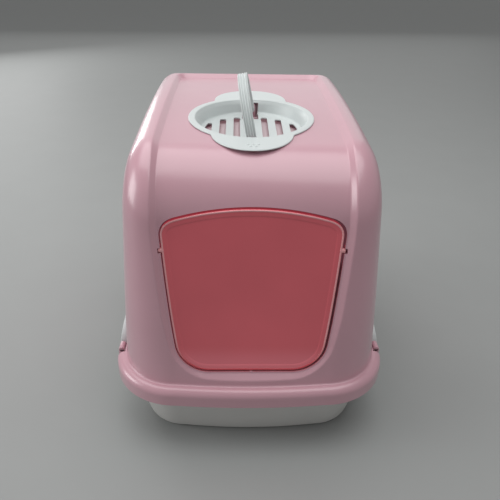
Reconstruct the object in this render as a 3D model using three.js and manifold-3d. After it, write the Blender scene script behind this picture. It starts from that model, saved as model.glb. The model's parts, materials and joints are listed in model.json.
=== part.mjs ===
// Cat litter box with a lift-off hood: tray, hood, swing door, vent insert, folding handle and two side clips.
// Millimetres, +Z up. The door faces -Y, and the origin is on the floor under the middle of the box.
import * as THREE from "three";
import { mergeVertices } from "three/addons/utils/BufferGeometryUtils.js";
import Module from "manifold-3d";

const wasm = await Module();
wasm.setup();

// ---- Driving dimensions ----

// Plan of the hood's flange, which is the outline of the whole box.
const boxWidth = 400;
const boxLength = 520;
const planCorner = 95;
const planBow = 5; // how far the ends bulge between their corners
const wall = 3;
const fit = 0.3; // gap between pieces that touch

// Hood: skirt, rolled edge and flange, then the drafted walls and the arched roof.
const skirtBottom = 80;
const skirtHeight = 15.5;
const rollRadius = 10.5;
const flangeOverhang = 14.5;
const frontLean = THREE.MathUtils.degToRad(9.3);
const sideDraft = 0.068; // lost on each side for each millimetre of height
const rearDraft = 0.017;
const bowFade = 120; // height over which the front's bulge dies out
const roofPeak = 432.7;
const roofPeakY = 120;
const roofRadius = 2875;
const shoulderRadius = 32;
const bendRadius = 75; // between the front and the roof
const rearEdgeRadius = 14;

// Recess that runs from the door's sill over the bend to the back of the roof.
const recessDepth = 7.5;
const recessSlope = 8; // width of its sloping edge
const recessLand = 2; // flat strip around the door opening
const recessLap = 20; // overlap of the recess's parts
const recessWidening = 90; // length over which it widens from the door to the roof panel
const panelHalfWidth = 122;
const panelCorner = 14;
const rearRim = 19; // from the panel's end to the back of the roof

// Door opening, measured up the leaning front from the flange's crease.
const sillHeight = 18;
const openingBottomHalf = 57;
const openingCorner = 48;
const openingHalfWidth = 119.4;
const sideTop = 218.4; // where the sides end and the arch's corners start
const archRise = 37.6; // from there to the top of the arch
const topCornerWidth = 20;
const topCornerDrop = 13.5; // the arched top's fall from its middle to where its corners start
const sideFlare = THREE.MathUtils.degToRad(8);
const sideBend = 0.37; // share of the side's height at which its curve turns
const doorGap = 2.5;
const doorTopGap = 3.5;
const doorPlay = 1; // the door lies against its left socket
const doorThickness = 2.6;
const doorRimDepth = 6.5;
const doorRimWidth = 2.6;
const pivotHeight = 198;
const doorPivotDepth = 3.6; // from the recess floor back to the pivot's axis
const doorPinRadius = 3.4;
const doorPinReach = 2.2; // beyond the opening's edge
const snapLip = 0.4; // how much each side of a socket's mouth holds the pin back
const pinClearance = 0.35;
const socketHalfHeight = 7;
const socketDepth = 9.5;
const catchRadius = 3; // nub on the sill under the door
const catchHeight = 1.3;

// Vent insert in the roof, and the handle that folds into it.
const ventY = -23;
const bowlRadius = 81;
const bowlFloorRadius = 74;
const bowlFillet = 3.5;
const bowlDepth = 20;
const insertWall = 2;
const plateThickness = 2;
const ringRadius = 91.5;
const lobeHalfWidth = 56;
const frontLobe = 124;
const rearLobe = 136;
const slotPitch = 21;
const slotWidth = 9.6;
const slotReach = 68.5;
const lugSlotHalf = 12.5; // slots in the bowl that the handle's lugs stand in
const lugSlotReach = 44;
const lugSlotDrop = 3;
const slotsEachSide = 3;
const wellClearance = 1.5; // between the insert's bowl and the hood's well
const wellWall = 2.5;
const wellGap = 5; // air gap under the insert's floor
const wellLap = 1.8; // how far the well's top edge lies below the roof panel
const wellSlotWidth = 8;
const handleRadius = 73;
const handleBar = 5.5;
const handleWidth = 14;
const handlePivotDepth = 10.5;
const handleLean = THREE.MathUtils.degToRad(-11);
const handlePinRadius = 2.6;
const handlePinReach = 7;
const handleRounding = 1.5;
const lugHalfWidth = 5.5;
const notchRadius = 13; // thumb notch that runs out under the front lobe
const notchReach = 19; // from the notch's centre to the lobe's edge

// Tray.
const trayBottomHalfWidth = 158;
const trayBottomHalfLength = 225;
const trayBottomCorner = 60;
const trayBottomBow = 6.5;
const trayEdge = 7;
const trayWall = 2.8;
const trayLip = 9.5; // height of the turned-down lip
const rimClearance = 1.5; // between the rim and the hood's skirt
const trayNotchGap = 0.8; // the rim is cut back this much more than the flange

// Side clips on the flange.
const clipY = -92;
const clipLength = 110;
const clipHeight = 52;
const clipThickness = 2.6;
const clipLean = THREE.MathUtils.degToRad(7);
const barrelRadius = 5.5;
const barrelHeight = 97.5;
const clipPinRadius = 2.4;
const clipPinReach = 8;
const earLength = 16;
const earGap = 0.6;
const notchMargin = 8; // open flange beyond each ear
const notchFloorGap = 2.5; // under the barrel
const notchWallGap = 0.7; // between the barrel and the flange inside it

// ---- Derived places ----

const creaseZ = skirtBottom + skirtHeight + rollRadius;
const wallHalfWidth = boxWidth / 2 - flangeOverhang;
const wallHalfLength = boxLength / 2 - flangeOverhang;
const barrelX = boxWidth / 2 - barrelRadius;
const roofZ = (y) => roofPeak - (y - roofPeakY) ** 2 / (2 * roofRadius);
const ventTilt = Math.atan((roofPeakY - ventY) / roofRadius);

// The recess floor's own frame: x across, y up the leaning front, z out of it.
const frontFrame = new THREE.Matrix4()
  .makeTranslation(0, -wallHalfLength + recessDepth / Math.cos(frontLean), creaseZ)
  .multiply(new THREE.Matrix4().makeRotationX(Math.PI / 2 - frontLean));

// The frame of the recess's rear end: y runs back along the roof panel, z out of it.
const panelEnd = wallHalfLength - rearDraft * (roofPeak - creaseZ) - rearRim;
const rearFrame = new THREE.Matrix4()
  .makeTranslation(0, panelEnd, roofZ(panelEnd) - recessDepth)
  .multiply(new THREE.Matrix4().makeRotationX(Math.atan((roofPeakY - panelEnd) / roofRadius)));

// The vent's frame lies on the roof panel, tilted with it.
const ventFrame = new THREE.Matrix4()
  .makeTranslation(0, ventY, roofZ(ventY) - recessDepth)
  .multiply(new THREE.Matrix4().makeRotationX(ventTilt));

const insertTop = fit + plateThickness;
const insertFloor = insertTop - bowlDepth;
const wellRadius = bowlRadius + insertWall + wellClearance;
const pivotHalfWidth = halfWidthAt(pivotHeight);
const rimTop = creaseZ - wall - fit;

// ---- Geometry helpers ----

const join = (solids) => solids.reduce((all, next) => all.add(next));
const inOrder = (a, b) => [Math.min(a, b), Math.max(a, b)];

// A closed geometry as a solid that can be joined and cut.
function solid(geometry, matrix = new THREE.Matrix4()) {
  const bare = new THREE.BufferGeometry();
  bare.setAttribute("position", geometry.getAttribute("position").clone());
  bare.setIndex(geometry.index);
  bare.applyMatrix4(matrix);
  const merged = mergeVertices(bare, 1e-4);
  const triVerts = new Uint32Array(merged.index.array);
  const vertProperties = merged.getAttribute("position").array;
  return new wasm.Manifold(new wasm.Mesh({ numProp: 3, vertProperties, triVerts }));
}

function geometryOf(manifold, matrix = new THREE.Matrix4()) {
  const mesh = manifold.getMesh();
  const geometry = new THREE.BufferGeometry();
  geometry.setAttribute("position", new THREE.BufferAttribute(mesh.vertProperties, 3));
  geometry.setIndex(new THREE.BufferAttribute(mesh.triVerts, 1));
  geometry.applyMatrix4(matrix);
  geometry.computeVertexNormals();
  return geometry;
}

function box(x0, x1, y0, y1, z0, z1) {
  const geometry = new THREE.BoxGeometry(x1 - x0, y1 - y0, z1 - z0);
  return geometry.translate((x0 + x1) / 2, (y0 + y1) / 2, (z0 + z1) / 2);
}

function barX(radius, x0, x1, y, z) {
  const bar = new THREE.CylinderGeometry(radius, radius, x1 - x0, 20).rotateZ(Math.PI / 2);
  return bar.translate((x0 + x1) / 2, y, z);
}

function barY(radius, y0, y1, x, z) {
  return new THREE.CylinderGeometry(radius, radius, y1 - y0, 20).translate(x, (y0 + y1) / 2, z);
}

function disc(radius, x, y, z0, z1, segments = 48) {
  const bar = new THREE.CylinderGeometry(radius, radius, z1 - z0, segments).rotateX(Math.PI / 2);
  return bar.translate(x, y, (z0 + z1) / 2);
}

// A profile of [radius, height] pairs that starts and ends on the axis, turned about Z.
function revolve(profile, segments = 48) {
  const points = profile.map(([r, z]) => new THREE.Vector2(r, z));
  return new THREE.LatheGeometry(points, segments).rotateX(Math.PI / 2);
}

function extrude(points, z0, z1) {
  const shape = new THREE.Shape(points.map(([x, y]) => new THREE.Vector2(x, y)));
  return new THREE.ExtrudeGeometry(shape, { depth: z1 - z0, bevelEnabled: false }).translate(0, 0, z0);
}

// Skin over a row of loops with equally many points. A closed row joins its last loop to its first;
// an open one gets a cap at each end.
function loft(loops, closed = false) {
  const count = loops[0].length;
  const vertices = loops.flat();
  const faces = [];
  for (let row = 0; row < loops.length - (closed ? 0 : 1); row++) {
    const here = row * count;
    const next = ((row + 1) % loops.length) * count;
    for (let i = 0; i < count; i++) {
      const j = (i + 1) % count;
      faces.push(here + i, here + j, next + j, here + i, next + j, next + i);
    }
  }
  for (const end of closed ? [] : [0, loops.length - 1]) {
    const middle = loops[end].reduce((sum, p) => sum.add(p), new THREE.Vector3()).divideScalar(count);
    for (let i = 0; i < count; i++) {
      const edge = [end * count + i, end * count + ((i + 1) % count)];
      faces.push(vertices.length, ...(end === 0 ? edge.reverse() : edge));
    }
    vertices.push(middle);
  }
  return new THREE.BufferGeometry().setFromPoints(vertices).setIndex(faces);
}

// The point between two others where a field changes sign from negative to positive.
function crossing(field, inside, outside) {
  let low = 0;
  let high = 1;
  const point = new THREE.Vector3();
  for (let step = 0; step < 30; step++) {
    const middle = (low + high) / 2;
    if (field(point.lerpVectors(inside, outside, middle)) < 0) low = middle;
    else high = middle;
  }
  return point.lerpVectors(inside, outside, low).clone();
}

// Two signed distances joined over a rounded edge.
function roundJoin(a, b, radius) {
  const u = a + radius;
  const v = b + radius;
  return Math.min(Math.max(u, v), 0) + Math.hypot(Math.max(u, 0), Math.max(v, 0)) - radius;
}

// Rounded rectangle with bowed ends, counter-clockwise from the middle of the front, at height z.
function planLoop(halfWidth, halfLength, corner, bow, z) {
  const straight = halfWidth - corner;
  const quarter = [];
  for (let i = 0; i <= 3; i++) {
    const x = (i / 3) * straight;
    quarter.push([x, -halfLength + bow * (x / straight) ** 2]);
  }
  for (let i = 1; i <= 7; i++) {
    const turn = ((i / 7) * Math.PI) / 2;
    const y = -halfLength + bow + corner * (1 - Math.cos(turn));
    quarter.push([straight + corner * Math.sin(turn), y]);
  }
  const right = [...quarter, ...quarter.map(([x, y]) => [x, -y]).reverse()];
  const left = right.map(([x, y]) => [-x, y]).reverse().slice(1, -1);
  return [...right, ...left].map(([x, y]) => new THREE.Vector3(x, y, z));
}

// The box's own plan, drawn in by an inset.
function boxLoop(inset, z) {
  return planLoop(boxWidth / 2 - inset, boxLength / 2 - inset, planCorner - inset, planBow, z);
}

// ---- Hood ----

// Signed distance to the hood's skin without its recess, moved inwards by an inset.
function endField(y, z, bulge, inset) {
  const rise = z - creaseZ;
  const front = (-wallHalfLength + bulge - y) * Math.cos(frontLean) + rise * Math.sin(frontLean);
  const roof = z - roofZ(y);
  const rear = y - (wallHalfLength - bulge - rearDraft * rise);
  const nose = roundJoin(front + inset, roof + inset, bendRadius - inset);
  return roundJoin(nose, rear + inset, rearEdgeRadius - inset);
}

function hoodField(point, inset) {
  const rise = point.z - creaseZ;
  const share = THREE.MathUtils.clamp(rise / (roofPeak - creaseZ), 0, 1);
  const straight = boxWidth / 2 - planCorner;
  const fade = 1 - THREE.MathUtils.smoothstep(rise, 0, bowFade);
  const bulge = planBow * Math.min(Math.abs(point.x) / straight, 1) ** 2 * fade;
  const side = Math.abs(point.x) - (wallHalfWidth - sideDraft * rise);
  const corner = THREE.MathUtils.lerp(planCorner - flangeOverhang, shoulderRadius, share);
  return roundJoin(side + inset, endField(point.y, point.z, bulge, inset), corner - inset);
}

// The walls and roof as a solid down to a flat base: a grid pushed out from a core until it meets the skin.
function hoodBody(inset, base) {
  const grid = new THREE.BoxGeometry(2, 2, 2, 14, 14, 7);
  const position = grid.getAttribute("position");
  const crowd = (t) => Math.sin(1.2 * t) / Math.sin(1.2);
  const place = new THREE.Vector3();
  const reach = (share, top) => {
    const half = new THREE.Vector3(share * boxWidth, share * boxLength, 0);
    const z = THREE.MathUtils.mapLinear(place.z, -1, 1, base, top);
    return new THREE.Vector3(place.x * half.x, place.y * half.y, z);
  };
  for (let i = 0; i < position.count; i++) {
    place.fromBufferAttribute(position, i);
    place.set(crowd(place.x), crowd(place.y), crowd(place.z));
    const core = reach(0.25, roofPeak - planCorner);
    const onBase = place.z < -0.999 && Math.abs(place.x) < 0.999 && Math.abs(place.y) < 0.999;
    const shell = (point) => hoodField(point, inset);
    const found = onBase ? core : crossing(shell, core, reach(0.65, roofPeak + planCorner));
    position.setXYZ(i, found.x, found.y, found.z);
  }
  return solid(grid);
}

// Right half of the door opening below its arch, grown by an offset, from the sill's middle upwards.
function lowerSide(offset) {
  const cornerY = sillHeight + openingCorner;
  const low = new THREE.Vector2(Math.cos(sideFlare), -Math.sin(sideFlare));
  const start = new THREE.Vector2(openingBottomHalf, cornerY).addScaledVector(low, openingCorner);
  const climb = sideBend * (sideTop - start.y);
  const bend = new THREE.Vector2(start.x + climb * Math.tan(sideFlare), start.y + climb);
  const path = new THREE.Path();
  path.moveTo(0, sillHeight - offset);
  path.absarc(openingBottomHalf, cornerY, openingCorner + offset, -Math.PI / 2, -sideFlare);
  path.quadraticCurveTo(bend.x + offset, bend.y, openingHalfWidth + offset, sideTop);
  return path.getPoints(5).map((p) => [p.x, p.y]);
}

// Right half of the opening above its sides: a rounded corner and half of the arch.
function upperSide(offset, topOffset) {
  const edge = openingHalfWidth + offset;
  const archHalf = openingHalfWidth - topCornerWidth;
  const archSlope = (2 * topCornerDrop) / archHalf;
  const archY = sideTop + archRise - topCornerDrop + topOffset;
  const path = new THREE.Path();
  path.moveTo(edge, sideTop);
  path.quadraticCurveTo(edge, archY - archSlope * topCornerWidth, archHalf + offset / 2, archY);
  path.quadraticCurveTo(archHalf / 2, archY + topCornerDrop, 0, archY + topCornerDrop);
  return path.getPoints(5).map((p) => [p.x, p.y]);
}

// Outline of the door opening, grown by an offset; its top grows by an offset of its own.
function openingOutline(offset, topOffset = offset) {
  return mirrored([...lowerSide(offset), ...upperSide(offset, topOffset).slice(1)]);
}

// Half the opening's width at a height up its side.
function halfWidthAt(height) {
  const side = [...lowerSide(0), ...upperSide(0, 0).slice(1)];
  const above = side.findIndex((point) => point[1] > height);
  const [[x0, y0], [x1, y1]] = [side[above - 1], side[above]];
  return THREE.MathUtils.mapLinear(height, y0, y1, x0, x1);
}

// A whole outline from its right half, which runs from the bottom middle to the top middle.
function mirrored(right) {
  const left = right.map(([x, y]) => [-x, y]).reverse().slice(1, -1);
  return [...right, ...left];
}

// The recess around the door: the opening's outline below the arch, then straight up.
function recessOutline(offset) {
  const top = sideTop + recessLap;
  return mirrored([...lowerSide(offset), [openingHalfWidth + offset, top], [0, top]]);
}

// The recess's end on the roof, with rounded corners; y runs back from the panel's end.
function rearOutline(offset) {
  const path = new THREE.Path();
  path.moveTo(0, -2 * recessLap);
  path.lineTo(panelHalfWidth + offset, -2 * recessLap);
  path.absarc(panelHalfWidth - panelCorner, -panelCorner, panelCorner + offset, 0, Math.PI / 2);
  path.lineTo(0, offset);
  return mirrored(path.getPoints(5).map((p) => [p.x, p.y]));
}

// Stations along the recess floor from the opening's arch to the roof's end, as points and normals in the YZ plane.
function floorStations() {
  const floor = (point) => endField(point.y, point.z, 0, 0) + recessDepth;
  const hub = new THREE.Vector3(0, roofPeakY - bendRadius, roofPeak - 2 * bendRadius);
  const first = new THREE.Vector3(0, sideTop, 0).applyMatrix4(frontFrame).sub(hub);
  const last = new THREE.Vector3(0, -recessLap, 0).applyMatrix4(rearFrame).sub(hub);
  const turn = new THREE.Vector3(1, 0, 0);
  const sweep = first.angleTo(last);
  const stations = [];
  for (let i = 0; i <= 22; i++) {
    const ray = first.clone().applyAxisAngle(turn, (-sweep * i) / 22).setLength(2 * boxWidth);
    const point = crossing(floor, hub, ray.add(hub));
    const slope = (axis) => floor(point.clone().add(axis)) - floor(point.clone().sub(axis));
    const up = slope(new THREE.Vector3(0, 0, 0.1));
    const back = slope(new THREE.Vector3(0, 0.1, 0));
    stations.push({ point, normal: new THREE.Vector3(0, back, up).normalize() });
  }
  return stations;
}

// Everything that the recess takes out of a skin drawn in by an inset. Its walls slope outwards.
function recess(inset) {
  const rate = recessSlope / recessDepth;
  const heights = [-inset, 4 * recessDepth];
  const grow = (height) => rate * height + inset * Math.hypot(1, rate);
  const level = (outline, height) => outline.map(([x, y]) => new THREE.Vector3(x, y, height));
  const front = loft(heights.map((h) => level(recessOutline(recessLand + grow(h)), h)));
  const rear = loft(heights.map((h) => level(rearOutline(grow(h)), h)));
  let length = 0;
  let before = null;
  const strip = floorStations().map(({ point, normal }) => {
    length += before ? point.distanceTo(before) : 0;
    before = point;
    const widening = Math.min(length / recessWidening, 1);
    const half = THREE.MathUtils.lerp(openingHalfWidth + recessLand, panelHalfWidth, widening);
    const corner = (side, height) => {
      const out = new THREE.Vector3(side * (half + grow(height)), 0, 0);
      return out.add(point).addScaledVector(normal, height);
    };
    return [corner(-1, heights[0]), corner(-1, heights[1]), corner(1, heights[1]), corner(1, heights[0])];
  });
  return solid(front, frontFrame).add(solid(loft(strip))).add(solid(rear, rearFrame));
}

// The turned-down edge that reaches over the tray's rim.
function flange() {
  const rows = [[0, skirtBottom]];
  for (let i = 0; i <= 4; i++) rows.push(rollPoint(rollRadius, i / 4));
  rows.push([flangeOverhang + wall / 2, creaseZ], [flangeOverhang + wall / 2, creaseZ - wall]);
  for (let i = 3; i >= 0; i--) rows.push(rollPoint(rollRadius - wall, i / 3));
  rows.push([wall, skirtBottom]);
  return solid(loft(rows.map(([inset, z]) => boxLoop(inset, z)), true));
}

// A point on the roll's arc, as an inset and a height; share runs from its foot to its top.
function rollPoint(radius, share) {
  const turn = (share * Math.PI) / 2;
  return [rollRadius - radius * Math.cos(turn), creaseZ - rollRadius + radius * Math.sin(turn)];
}

// Slots along Y through a floor, cut off by a circle.
function floorSlots(places, width, z0, z1) {
  const slots = places.map((x) => solid(box(x - width / 2, x + width / 2, -slotReach, slotReach, z0, z1)));
  return join(slots).intersect(solid(disc(slotReach, 0, 0, z0, z1)));
}

// Well under the vent insert, with its slots and the two lugs that carry the handle.
function ventWell() {
  const floor = insertFloor - insertWall - wellGap;
  const under = floor - wellWall;
  const cup = solid(disc(wellRadius + wellWall, 0, 0, under, -wellLap));
  const places = [];
  for (let i = -slotsEachSide + 0.5; i < slotsEachSide; i++) places.push(i * slotPitch);
  const slots = floorSlots(places, wellSlotWidth, under - 1, floor + 1);
  const well = cup.subtract(solid(disc(wellRadius, 0, 0, floor, wellWall))).subtract(slots);
  const lugs = [-1, 1].map((side) => {
    const span = inOrder(side * (handleRadius + fit), side * (wellRadius + wellWall / 2));
    const bottom = floor - wellWall / 2;
    const post = solid(box(-lugHalfWidth, lugHalfWidth, ...span, bottom, -handlePivotDepth));
    const head = solid(barY(lugHalfWidth, ...span, 0, -handlePivotDepth));
    const depth = inOrder(0, side * (handleRadius + handlePinReach + 2 * pinClearance));
    const bore = solid(barY(handlePinRadius + pinClearance, ...depth, 0, -handlePivotDepth));
    return post.add(head).subtract(bore);
  });
  return join([well, ...lugs]).transform(ventFrame.elements);
}

// Blocks behind the opening's sides, and the notches that the door's pins snap into from the front.
function doorSockets() {
  const end = pivotHalfWidth + doorPinReach + doorPlay + fit;
  const low = pivotHeight - socketHalfHeight;
  const high = pivotHeight + socketHalfHeight;
  const mouth = doorPinRadius - snapLip;
  const blocks = [-1, 1].map((side) => {
    const span = inOrder(side * (pivotHalfWidth - doorGap), side * (end + wall));
    return solid(box(...span, low, high, -socketDepth, recessDepth), frontFrame);
  });
  const notches = [-1, 1].map((side) => {
    const span = inOrder(side * (pivotHalfWidth - doorGap), side * end);
    const bore = barX(doorPinRadius + pinClearance, ...span, pivotHeight, -doorPivotDepth);
    const gate = box(...span, pivotHeight - mouth, pivotHeight + mouth, -doorPivotDepth, recessDepth);
    return solid(bore, frontFrame).add(solid(gate, frontFrame));
  });
  return [join(blocks), join(notches)];
}

// Barrels at both ends of each clip, standing on the skirt.
function clipEars() {
  const ears = [-1, 1].flatMap((side) => [-1, 1].map((end) => {
    const near = clipLength / 2 + earGap;
    const span = inOrder(clipY + end * near, clipY + end * (near + earLength));
    const barrel = solid(barY(barrelRadius, ...span, side * barrelX, barrelHeight));
    const thickness = inOrder(side * (boxWidth / 2 - wall), side * (boxWidth / 2));
    const web = solid(box(...thickness, ...span, skirtBottom + wall, barrelHeight));
    const depth = inOrder(clipY, clipY + end * (near + clipPinReach));
    const bore = solid(barY(clipPinRadius + pinClearance, ...depth, side * barrelX, barrelHeight));
    return barrel.add(web).subtract(bore);
  }));
  return join(ears);
}

// Space for each clip in the flange and in the tray's rim, outwards from a distance.
function clipNotches(from, bottom, extra) {
  const half = clipLength / 2 + earGap + earLength + notchMargin + extra;
  const span = [clipY - half, clipY + half, bottom, creaseZ + barrelRadius];
  return solid(box(from, boxWidth, ...span)).add(solid(box(-boxWidth, -from, ...span)));
}

function hoodGeometry() {
  const skin = hoodBody(0, creaseZ - wall).subtract(recess(0));
  const hollow = hoodBody(wall, creaseZ - 2 * wall).subtract(recess(wall));
  const [sockets, pinNotches] = doorSockets();
  const through = 4 * wall;
  const opening = solid(extrude(openingOutline(0), -through, through), frontFrame);
  const nubY = sillHeight + catchHeight - catchRadius;
  const nub = solid(disc(catchRadius, 0, nubY, -wall, 0, 16), frontFrame);
  const wellHole = solid(disc(wellRadius, 0, 0, -through, through), ventFrame);
  const thumbY = notchReach - frontLobe;
  const thumbEnd = solid(disc(notchRadius, 0, thumbY, -through, through, 24), ventFrame);
  const thumbSlot = solid(box(-notchRadius, notchRadius, thumbY, 0, -through, through), ventFrame);
  const notchBottom = barrelHeight - barrelRadius - notchFloorGap;
  const notches = clipNotches(barrelX - barrelRadius - notchWallGap, notchBottom, 0);
  const shell = skin.subtract(hollow).subtract(opening);
  const fitted = join([shell, flange(), sockets.intersect(skin).subtract(opening), nub]).subtract(pinNotches);
  const vented = fitted.subtract(join([wellHole, thumbEnd, thumbSlot])).add(ventWell());
  return geometryOf(vented.subtract(notches).add(clipEars()));
}

// ---- Vent insert and handle, in the vent's frame ----

// The inside or outside of the bowl, up to a top height.
function bowlSolid(thickness, top) {
  const floor = insertFloor - thickness;
  const rise = insertTop - insertFloor;
  const radiusAt = (z) => bowlFloorRadius + thickness + ((z - insertFloor) / rise) * (bowlRadius - bowlFloorRadius);
  const fillet = bowlFillet + thickness;
  const profile = [[0, floor]];
  for (let i = 0; i <= 3; i++) {
    const turn = ((i / 3) * Math.PI) / 2;
    const z = floor + fillet * (1 - Math.cos(turn));
    profile.push([radiusAt(floor + fillet) - fillet * (1 - Math.sin(turn)), z]);
  }
  profile.push([radiusAt(top), top], [0, top]);
  return solid(revolve(profile));
}

// Scalloped plate: a slab bent like the roof, cut to a round ring with a lobe at the front and back.
function insertPlate() {
  const loops = [];
  const reach = rearLobe + plateThickness;
  for (let i = 0; i <= 16; i++) {
    const y = (i / 8 - 1) * reach;
    const z = fit - y ** 2 / (2 * roofRadius);
    const corners = [[-1, 0], [-1, 1], [1, 1], [1, 0]];
    loops.push(corners.map(([x, up]) => new THREE.Vector3(x * 1.2 * ringRadius, y, z + up * plateThickness)));
  }
  const outline = solid(disc(ringRadius, 0, 0, -reach, reach))
    .add(solid(disc(lobeHalfWidth, 0, lobeHalfWidth - frontLobe, -reach, reach)))
    .add(solid(disc(lobeHalfWidth, 0, rearLobe - lobeHalfWidth, -reach, reach)));
  return solid(loft(loops)).intersect(outline);
}

function insertGeometry() {
  const below = insertFloor - 2 * insertWall;
  const plate = insertPlate().add(bowlSolid(insertWall, fit + plateThickness / 5));
  const places = [];
  for (let i = -slotsEachSide; i <= slotsEachSide; i++) places.push(i * slotPitch);
  const slots = floorSlots(places, slotWidth, below, insertFloor + 1);
  const far = bowlRadius + 2 * insertWall;
  const front = solid(box(-lugSlotHalf, lugSlotHalf, -far, -lugSlotReach, below, -lugSlotDrop));
  const back = solid(box(-lugSlotHalf, lugSlotHalf, lugSlotReach, far, below, -lugSlotDrop));
  const cavity = bowlSolid(0, insertTop + plateThickness);
  return geometryOf(plate.subtract(cavity).subtract(slots).subtract(front).subtract(back));
}

// Bail with its pivots on the Y axis, standing up along Z.
function handleGeometry() {
  const middle = handleRadius - handleBar / 2;
  const section = [];
  for (const [r, x] of [[1, 1], [-1, 1], [-1, -1], [1, -1]]) {
    const [cr, cx] = [handleBar / 2 - handleRounding, handleWidth / 2 - handleRounding];
    for (let i = 0; i <= 2; i++) {
      const turn = ((r * x > 0 ? i : 2 - i) / 2) * (Math.PI / 2);
      const outR = r * (cr + handleRounding * Math.cos(turn));
      const outX = x * (cx + handleRounding * Math.sin(turn));
      section.push([outR, outX]);
    }
  }
  const loops = [];
  for (let i = 0; i <= 24; i++) {
    const turn = (i / 24) * Math.PI;
    const spoke = new THREE.Vector3(0, -Math.cos(turn), Math.sin(turn));
    loops.push(section.map(([r, x]) => new THREE.Vector3(x, 0, 0).addScaledVector(spoke, middle + r)));
  }
  const ends = [-1, 1].flatMap((side) => {
    const inner = side * (handleRadius - handleBar);
    const foot = barY(handleWidth / 2, ...inOrder(inner, side * handleRadius), 0, 0);
    const pin = barY(handlePinRadius, ...inOrder(inner, side * (handleRadius + handlePinReach)), 0, 0);
    return [solid(foot), solid(pin)];
  });
  return geometryOf(join([solid(loft(loops)), ...ends]));
}

// ---- Door, with its pivot axis as its own X axis ----

function doorGeometry() {
  const shift = new THREE.Matrix4().makeTranslation(0, -pivotHeight, 0);
  const outer = openingOutline(-doorGap, -doorTopGap);
  const inner = openingOutline(-doorGap - doorRimWidth, -doorTopGap - doorRimWidth);
  const leaf = solid(extrude(outer, 0, doorThickness), shift);
  const rim = solid(extrude(outer, -doorRimDepth / 2, doorRimDepth / 2), shift);
  const middle = solid(extrude(inner, -doorRimDepth, doorRimDepth), shift);
  const reach = pivotHalfWidth + doorPinReach;
  const pins = solid(barX(doorPinRadius, -reach, reach, 0, 0));
  const rimInside = pivotHalfWidth - doorGap - doorRimWidth;
  const clear = 2 * doorPinRadius;
  const between = solid(box(-rimInside, rimInside, -clear, clear, -clear, clear));
  return geometryOf(leaf.add(rim.subtract(middle)).add(pins.subtract(between)));
}

// ---- Side clip, with its pivot axis as its own Y axis; the plate stands on its outer side ----

function clipGeometry() {
  const half = clipLength / 2;
  const barrel = solid(barY(barrelRadius, -half, half, 0, 0));
  const pins = solid(barY(clipPinRadius, -half - clipPinReach, half + clipPinReach, 0, 0));
  const outline = new THREE.Path();
  outline.absellipse(0, 0, half, clipHeight, 0, Math.PI);
  const points = outline.getPoints(14).map((p) => [p.x, p.y]);
  const upright = new THREE.Matrix4().set(0, 0, 1, 0, 1, 0, 0, 0, 0, 1, 0, 0, 0, 0, 0, 1);
  const plate = solid(extrude(points, barrelRadius - clipThickness, barrelRadius), upright);
  return geometryOf(barrel.add(pins).add(plate));
}

// ---- Tray ----

// The tray's wall at a height, drawn in by an inset.
function trayLoop(inset, z) {
  const share = z / rimTop;
  const at = (bottom, top) => THREE.MathUtils.lerp(bottom, top, share);
  const halfWidth = at(trayBottomHalfWidth, wallHalfWidth) - inset;
  const halfLength = at(trayBottomHalfLength, wallHalfLength) - inset;
  const corner = at(trayBottomCorner, planCorner - flangeOverhang) - inset;
  return planLoop(halfWidth, halfLength, corner, at(trayBottomBow, planBow), z);
}

function trayGeometry() {
  const quarter = (i) => ((i / 3) * Math.PI) / 2;
  const lipInset = wall + rimClearance;
  const rimRound = rollRadius - lipInset;
  const arcZ = rimTop - rimRound;
  const rows = [];
  for (let i = 0; i <= 3; i++) {
    rows.push(trayLoop(trayEdge * (1 - Math.sin(quarter(i))), trayEdge * (1 - Math.cos(quarter(i)))));
  }
  rows.push(trayLoop(0, rimTop - trayWall));
  for (let i = 3; i >= 0; i--) {
    const radius = rimRound - trayWall;
    rows.push(boxLoop(rollRadius - radius * Math.cos(quarter(i)), arcZ + radius * Math.sin(quarter(i))));
  }
  rows.push(boxLoop(lipInset + trayWall, arcZ - trayLip), boxLoop(lipInset, arcZ - trayLip));
  for (let i = 0; i <= 3; i++) {
    rows.push(boxLoop(rollRadius - rimRound * Math.cos(quarter(i)), arcZ + rimRound * Math.sin(quarter(i))));
  }
  rows.push(trayLoop(trayWall / 2, rimTop), trayLoop(trayWall, rimTop - trayWall / 2));
  const innerEdge = trayEdge - trayWall;
  for (let i = 3; i >= 0; i--) {
    const inset = trayWall + innerEdge * (1 - Math.sin(quarter(i)));
    rows.push(trayLoop(inset, trayWall + innerEdge * (1 - Math.cos(quarter(i)))));
  }
  const from = barrelX - barrelRadius - notchWallGap - trayNotchGap;
  const notches = clipNotches(from, skirtBottom, trayNotchGap);
  return geometryOf(solid(loft(rows)).subtract(notches));
}

// ---- Materials and assembly ----

const pinkPlastic = () => new THREE.MeshStandardMaterial({ color: 0xd9b2bd, roughness: 0.35, metalness: 0 });
const whitePlastic = () => new THREE.MeshStandardMaterial({ color: 0xdcdcda, roughness: 0.35, metalness: 0 });
const smokedPlastic = () => new THREE.MeshStandardMaterial({ color: 0x8f4a52, roughness: 0.25, metalness: 0 });

function piece(name, geometry, material, place = [0, 0, 0], turn = [0, 0, 0]) {
  const mesh = new THREE.Mesh(geometry, material);
  mesh.name = name;
  mesh.position.set(...place);
  mesh.rotation.set(...turn);
  return mesh;
}

function framed(matrix, ...meshes) {
  const group = new THREE.Group();
  group.add(...meshes);
  matrix.decompose(group.position, group.quaternion, group.scale);
  return group;
}

const litterBox = new THREE.Group();
litterBox.name = "litter_box";
litterBox.add(piece("litter_tray", trayGeometry(), whitePlastic()));
litterBox.add(piece("hood", hoodGeometry(), pinkPlastic()));

const doorPlace = [-doorPlay, pivotHeight, -doorPivotDepth];
litterBox.add(framed(frontFrame, piece("swing_door", doorGeometry(), smokedPlastic(), doorPlace)));

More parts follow.
